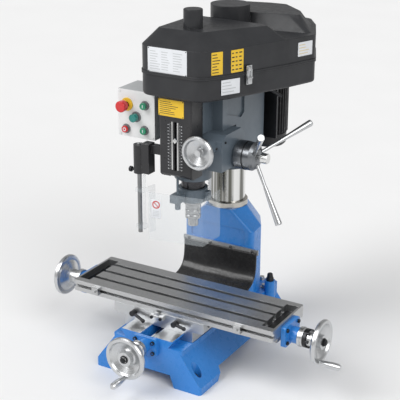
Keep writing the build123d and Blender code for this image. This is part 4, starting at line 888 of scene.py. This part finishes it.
class MILL_OT_latch(bpy.types.Operator):
    """The over-centre latch on the belt cover"""

    bl_idname = "mill.latch"
    bl_label = "Latch"

    def execute(self, context):
        centre = middle("lid_latch")
        out = np.cross(WALL_WAY, Z)
        face = centre + out * 2.6 * MM
        face[2] = LATCH_Z
        shapes = [
            plate(face - 16 * MM * Z, WALL_WAY, Z, (15 * MM, 22 * MM), 5 * MM, 2 * MM, 1 * MM),
            plate(face + 19 * MM * Z, WALL_WAY, Z, (13 * MM, 14 * MM), 4 * MM, 2 * MM, 1 * MM),
        ]
        for side in (-1, 1):
            start = face + side * 6.5 * MM * WALL_WAY + 4 * MM * out
            shapes.append(tube([start - 12 * MM * Z, start, start + 18 * MM * Z], 1.4 * MM, up=WALL_WAY))
        pin = face - 8 * MM * Z + 4.5 * MM * out
        shapes.append(spun(pin - 9.5 * MM * WALL_WAY, WALL_WAY,
                           mm((0, 0), (2, 0), (2, 19), (0, 19)), 20))
        add_shapes("latch_links", shapes, "steel_fittings", "latch")
        return {"FINISHED"}


# Each button's body, finish, radius and reach out of the panel.
BUTTON_FACE = {
    "emergency_stop": ("estop", "button_red", 18 * MM, 34 * MM),
    "upper_start_button": ("upper_start", "button_green", 11 * MM, 9 * MM),
    "selector_button": ("selector", "button_teal", 13 * MM, 16 * MM),
    "stop_button": ("stop", "button_red", 11 * MM, 6 * MM),
    "lower_start_button": ("lower_start", "button_green", 11 * MM, 6 * MM),
}


class MILL_OT_buttons(bpy.types.Operator):
    """The buttons' heads, marks and bezels"""

    bl_idname = "mill.buttons"
    bl_label = "Buttons"

    def execute(self, context):
        for node, (body, finish, r, back) in BUTTON_FACE.items():
            low, high = corners(node)
            centre = np.array([(low[0] + high[0]) / 2, low[1], (low[2] + high[2]) / 2])
            if node == "emergency_stop":
                bend = np.linspace(0, math.pi / 2, 8)
                profile = [(0, -back), (9 * MM, -back), (9 * MM, -back + 9 * MM), (r * 0.86, -back + 11 * MM),
                           (r, -back + 14 * MM)]
                profile += [(r - 3 * MM * (1 - math.cos(b)), -3 * MM + 3 * MM * math.sin(b)) for b in bend]
                profile += [(r * 0.55, 0.0), (0, 0)]
            else:
                rim = mm((0, -1.2), (-0.5, -0.3), (-1.2, 0), (-2.2, -0.2), (-2.8, -1.1))
                profile = [(0, -back), (r, -back)] + [(r + a, b) for a, b in rim] + [(0, -0.7 * MM)]
            head = spun(centre, -Y, profile)
            parts = numbered([head])
            if node in ("upper_start_button", "lower_start_button"):
                parts += numbered([slabs(centre + 0.8 * MM * Y, X, Z, -Y, (2.2 * MM, 10 * MM, 0.8 * MM))], 1)
            if node == "stop_button":
                parts += numbered([spun(centre + 1.0 * MM * Y, -Y, band(3.6, 6, 0.7))], 1)
            piece = add_piece(f"{node}_head", parts, [finish, "white_plate"], body)
            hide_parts(node)
            face = corners("control_panel")[0][1]
            bezel = "yellow_plate" if node == "emergency_stop" else "bezel_grey"
            wide = 21 * MM if node == "emergency_stop" else r + 4 * MM
            place = np.array([centre[0], face + 4.2 * MM, centre[2]])
            ring = spun(place, -Y, [(r * 0.5, 0), (wide, 0), (wide, 3.2 * MM), (wide - 1 * MM, 4.3 * MM),
                                    (r * 0.5, 4.3 * MM), (r * 0.5, 0)])
            add_shapes(f"{node}_bezel", [ring], bezel, "head")
        return {"FINISHED"}


class MILL_OT_motor(bpy.types.Operator):
    """The motor's finned barrel, end bells, fan cover and junction box"""

    bl_idname = "mill.motor"
    bl_label = "Motor"

    def execute(self, context):
        fins = context.scene.mill_sizes.fins
        centre = middle("motor_pulley") * (1, 1, 0)
        bottom, top = corners("motor")[0][2], corners("motor")[1][2]
        angle = np.linspace(0, TURN, fins * 8, endpoint=False)
        # The barrel's radius drops between fins as a steep wave of the angle; the ends are plain circles.
        wave = 1 / (1 + np.exp(-6 * np.sin(angle * fins)))
        levels = [(0, 0, 0), (40, 0, 0), (54, 2, 0), (60, 8, 0), (62, 14, 0), (62, 44, 0), (60, 46, 0),
                  (57, 47, 0), (66, 50, 1), (66, 210, 1), (57, 213, 0), (62, 214, 0), (64, 218, 0),
                  (64, 240, 0), (58, 252, 0), (40, 262, 0), (13, 264, 0), (0, 264, 0)]
        grid = np.empty((len(levels), len(angle), 3))
        for row, (r, h, finned) in enumerate(levels):
            reach = r * MM - finned * 8 * MM * (1 - wave)
            grid[row, :, 0] = centre[0] + reach * np.cos(angle)
            grid[row, :, 1] = centre[1] + reach * np.sin(angle)
            grid[row, :, 2] = bottom + h * (top - bottom) / levels[-1][1]
        shell = (grid.reshape(-1, 3), grid_faces(len(levels), len(angle)))
        box = plate(centre + 54 * MM * Y + 740 * MM * Z, -X, Z, (52 * MM, 96 * MM), 36 * MM, 8 * MM, 4 * MM)
        piece = add_shapes("motor_body", [shell, box], "black_enamel", "motor")
        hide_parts("motor")
        return {"FINISHED"}


FEED_FACE = 126 * MM


class MILL_OT_head_fittings(bpy.types.Operator):
    """Clamp bolts, feed housing screws, the hub's seam, and the guard post's cap and knob"""

    bl_idname = "mill.head_fittings"
    bl_label = "Head fittings"

    def execute(self, context):
        bolts = [hex_bolt((32 * MM, COLUMN[1] + 69 * MM, z * MM), X, 10 * MM, 13 * MM) for z in (650, 820)]
        add_shapes("clamp_bolts", bolts, "black_oxide", "head")
        feed_front = corners("feed_housing")[0][1]
        screws = [socket_screw((FEED_FACE, feed_front + y * MM, z * MM), X, 3.6 * MM, 3.5 * MM)
                  for y, z in ((46, 732), (-10, 728))]
        add_shapes("feed_screws", screws, "black_oxide", "head")
        seam = spun((162 * MM, HUB[1], HUB[2]), X, band(44.6, 46.2, 3.5))
        add_shapes("hub_seam", [seam], "black_oxide", "feed")
        post = middle("guard_post")
        cap = socket_screw((post[0], post[1], 697 * MM), Z, 7 * MM, 4 * MM)
        knob = spun((post[0] - 17 * MM, post[1] - 6 * MM, 612 * MM), -X,
                    mm((0, 0), (3, 0), (3, 5), (8, 6), (9, 8), (9, 14), (7, 16), (0, 16)), 40)
        add_shapes("guard_cap", [cap], "steel_fittings", "head")
        add_shapes("guard_knob", [knob], "black_oxide", "head")
        return {"FINISHED"}


GUARD_LEFT, GUARD_RIGHT = np.array([-100, -129, 0]) * MM, np.array([80, -99, 0]) * MM
SIGN_Z = 518 * MM


class MILL_OT_guard_sign(bpy.types.Operator):
    """The ring sign on the clear guard: a white plate, a red ring and a bar"""

    bl_idname = "mill.guard_sign"
    bl_label = "Guard sign"

    def execute(self, context):
        way = towards(GUARD_LEFT, GUARD_RIGHT)
        out = np.cross(way, Z)
        centre = GUARD_LEFT + way * 26 * MM + out * 2.2 * MM + SIGN_Z * Z
        sheet = plate(centre - 14 * MM * Z, way, Z, (32 * MM, 62 * MM), 0.4 * MM, 2 * MM, 0.1 * MM)
        parts = numbered([sheet])
        face = centre + out * 0.4 * MM
        parts += numbered([spun(face, out, band(9.5, 13, 0.3))], 1)
        slant = (way - Z) / math.sqrt(2)
        rise = np.cross(out, slant)
        bar = slabs(face + 0.15 * MM * out, slant, rise, out, (20 * MM, 2.6 * MM, 0.32 * MM))
        parts += numbered([bar], 1)
        bars = [face - (22 + 5 * k) * MM * Z for k in range(4)]
        parts += numbered([slabs(np.array(bars), way, Z, out, (22 * MM, 1.6 * MM, 0.3 * MM))], 2)
        add_piece("guard_sign", parts, ["white_plate", "red_print", "pale_print"], "guard")
        return {"FINISHED"}


# ---- stage ----
CAMERA_PLACE = Vector((1.6724, -2.8244, 1.7517))
CAMERA_TARGET = Vector((-0.1348, 0.206, 0.4065))
CAMERA_LENS = 98.5
CAMERA_SHIFT = (0.0156, 0.0048)
FLOOR_REACH = 12.0
LIGHT_TARGET = Vector((0, 0.1, 0.6))
LIGHTS = (("key", (-2.2, -3.0, 4.2), 1.9), ("fill", (3.4, -1.6, 3.6), 1.3))


class MILL_OT_stage(bpy.types.Operator):
    """A pale floor, soft lights and the camera"""

    bl_idname = "mill.stage"
    bl_label = "Stage"

    def execute(self, context):
        scene = context.scene
        floor = bpy.data.meshes.new("floor")
        sides = ((-1, -1), (1, -1), (1, 1), (-1, 1))
        floor.from_pydata([(x * FLOOR_REACH, y * FLOOR_REACH, 0) for x, y in sides], [], [(0, 1, 2, 3)])
        finish = Finish("pale_floor")
        finish.shader.inputs["Base Color"].default_value = (0.86, 0.86, 0.86, 1)
        finish.rough(finish.noise(finish.place, 3.0), 0.6, 0.75)
        floor.materials.append(finish.material)
        ground_piece = bpy.data.objects.new("floor", floor)
        scene.collection.objects.link(ground_piece)
        world = bpy.data.worlds.new("studio")
        world.use_nodes = True
        world.node_tree.nodes["Background"].inputs["Color"].default_value = (1.0, 1.0, 1.0, 1)
        world.node_tree.nodes["Background"].inputs["Strength"].default_value = 0.42
        scene.world = world
        scene.view_settings.view_transform = "Standard"
        for name, place, power in LIGHTS:
            lamp = bpy.data.lights.new(name, "SUN")
            lamp.angle = math.radians(40)
            lamp.energy = power
            holder = bpy.data.objects.new(name, lamp)
            holder.location = place
            holder.rotation_euler = (LIGHT_TARGET - Vector(place)).to_track_quat("-Z", "Y").to_euler()
            scene.collection.objects.link(holder)
        lens = bpy.data.cameras.new("camera")
        lens.lens = CAMERA_LENS
        lens.sensor_width = 36.0
        lens.shift_x, lens.shift_y = CAMERA_SHIFT
        camera = bpy.data.objects.new("camera", lens)
        camera.location = CAMERA_PLACE
        camera.rotation_euler = (CAMERA_TARGET - CAMERA_PLACE).to_track_quat("-Z", "Y").to_euler()
        scene.collection.objects.link(camera)
        scene.camera = camera
        return {"FINISHED"}


OPERATORS = (
    MILL_OT_stage, MILL_OT_finishes, MILL_OT_base_fittings, MILL_OT_way_cover, MILL_OT_saddle_fittings,
    MILL_OT_dial_marks, MILL_OT_screw_ends, MILL_OT_depth_scale, MILL_OT_cover_plates, MILL_OT_latch,
    MILL_OT_buttons, MILL_OT_motor, MILL_OT_head_fittings, MILL_OT_guard_sign,
)


class MILL_PT_panel(bpy.types.Panel):
    """Sizes, colours and the pieces to build"""

    bl_idname = "MILL_PT_panel"
    bl_label = "Milling machine"
    bl_space_type = "VIEW_3D"
    bl_region_type = "UI"
    bl_category = "Mill"

    def draw(self, context):
        for group in (context.scene.mill_colours, context.scene.mill_sizes):
            for key in group.__annotations__:
                self.layout.prop(group, key)
        for operator in OPERATORS:
            self.layout.operator(operator.bl_idname)


CLASSES = (MillColours, MillSizes) + OPERATORS + (MILL_PT_panel,)


def register():
    for item in CLASSES:
        bpy.utils.register_class(item)
    bpy.types.Scene.mill_colours = bpy.props.PointerProperty(type=MillColours)
    bpy.types.Scene.mill_sizes = bpy.props.PointerProperty(type=MillSizes)


def unregister():
    del bpy.types.Scene.mill_sizes
    del bpy.types.Scene.mill_colours
    for item in reversed(CLASSES):
        bpy.utils.unregister_class(item)


def main():
    """Build every piece in order."""
    register()
    for operator in OPERATORS:
        group, name = operator.bl_idname.split(".")
        getattr(getattr(bpy.ops, group), name)()


if __name__ == "__main__":
    main()
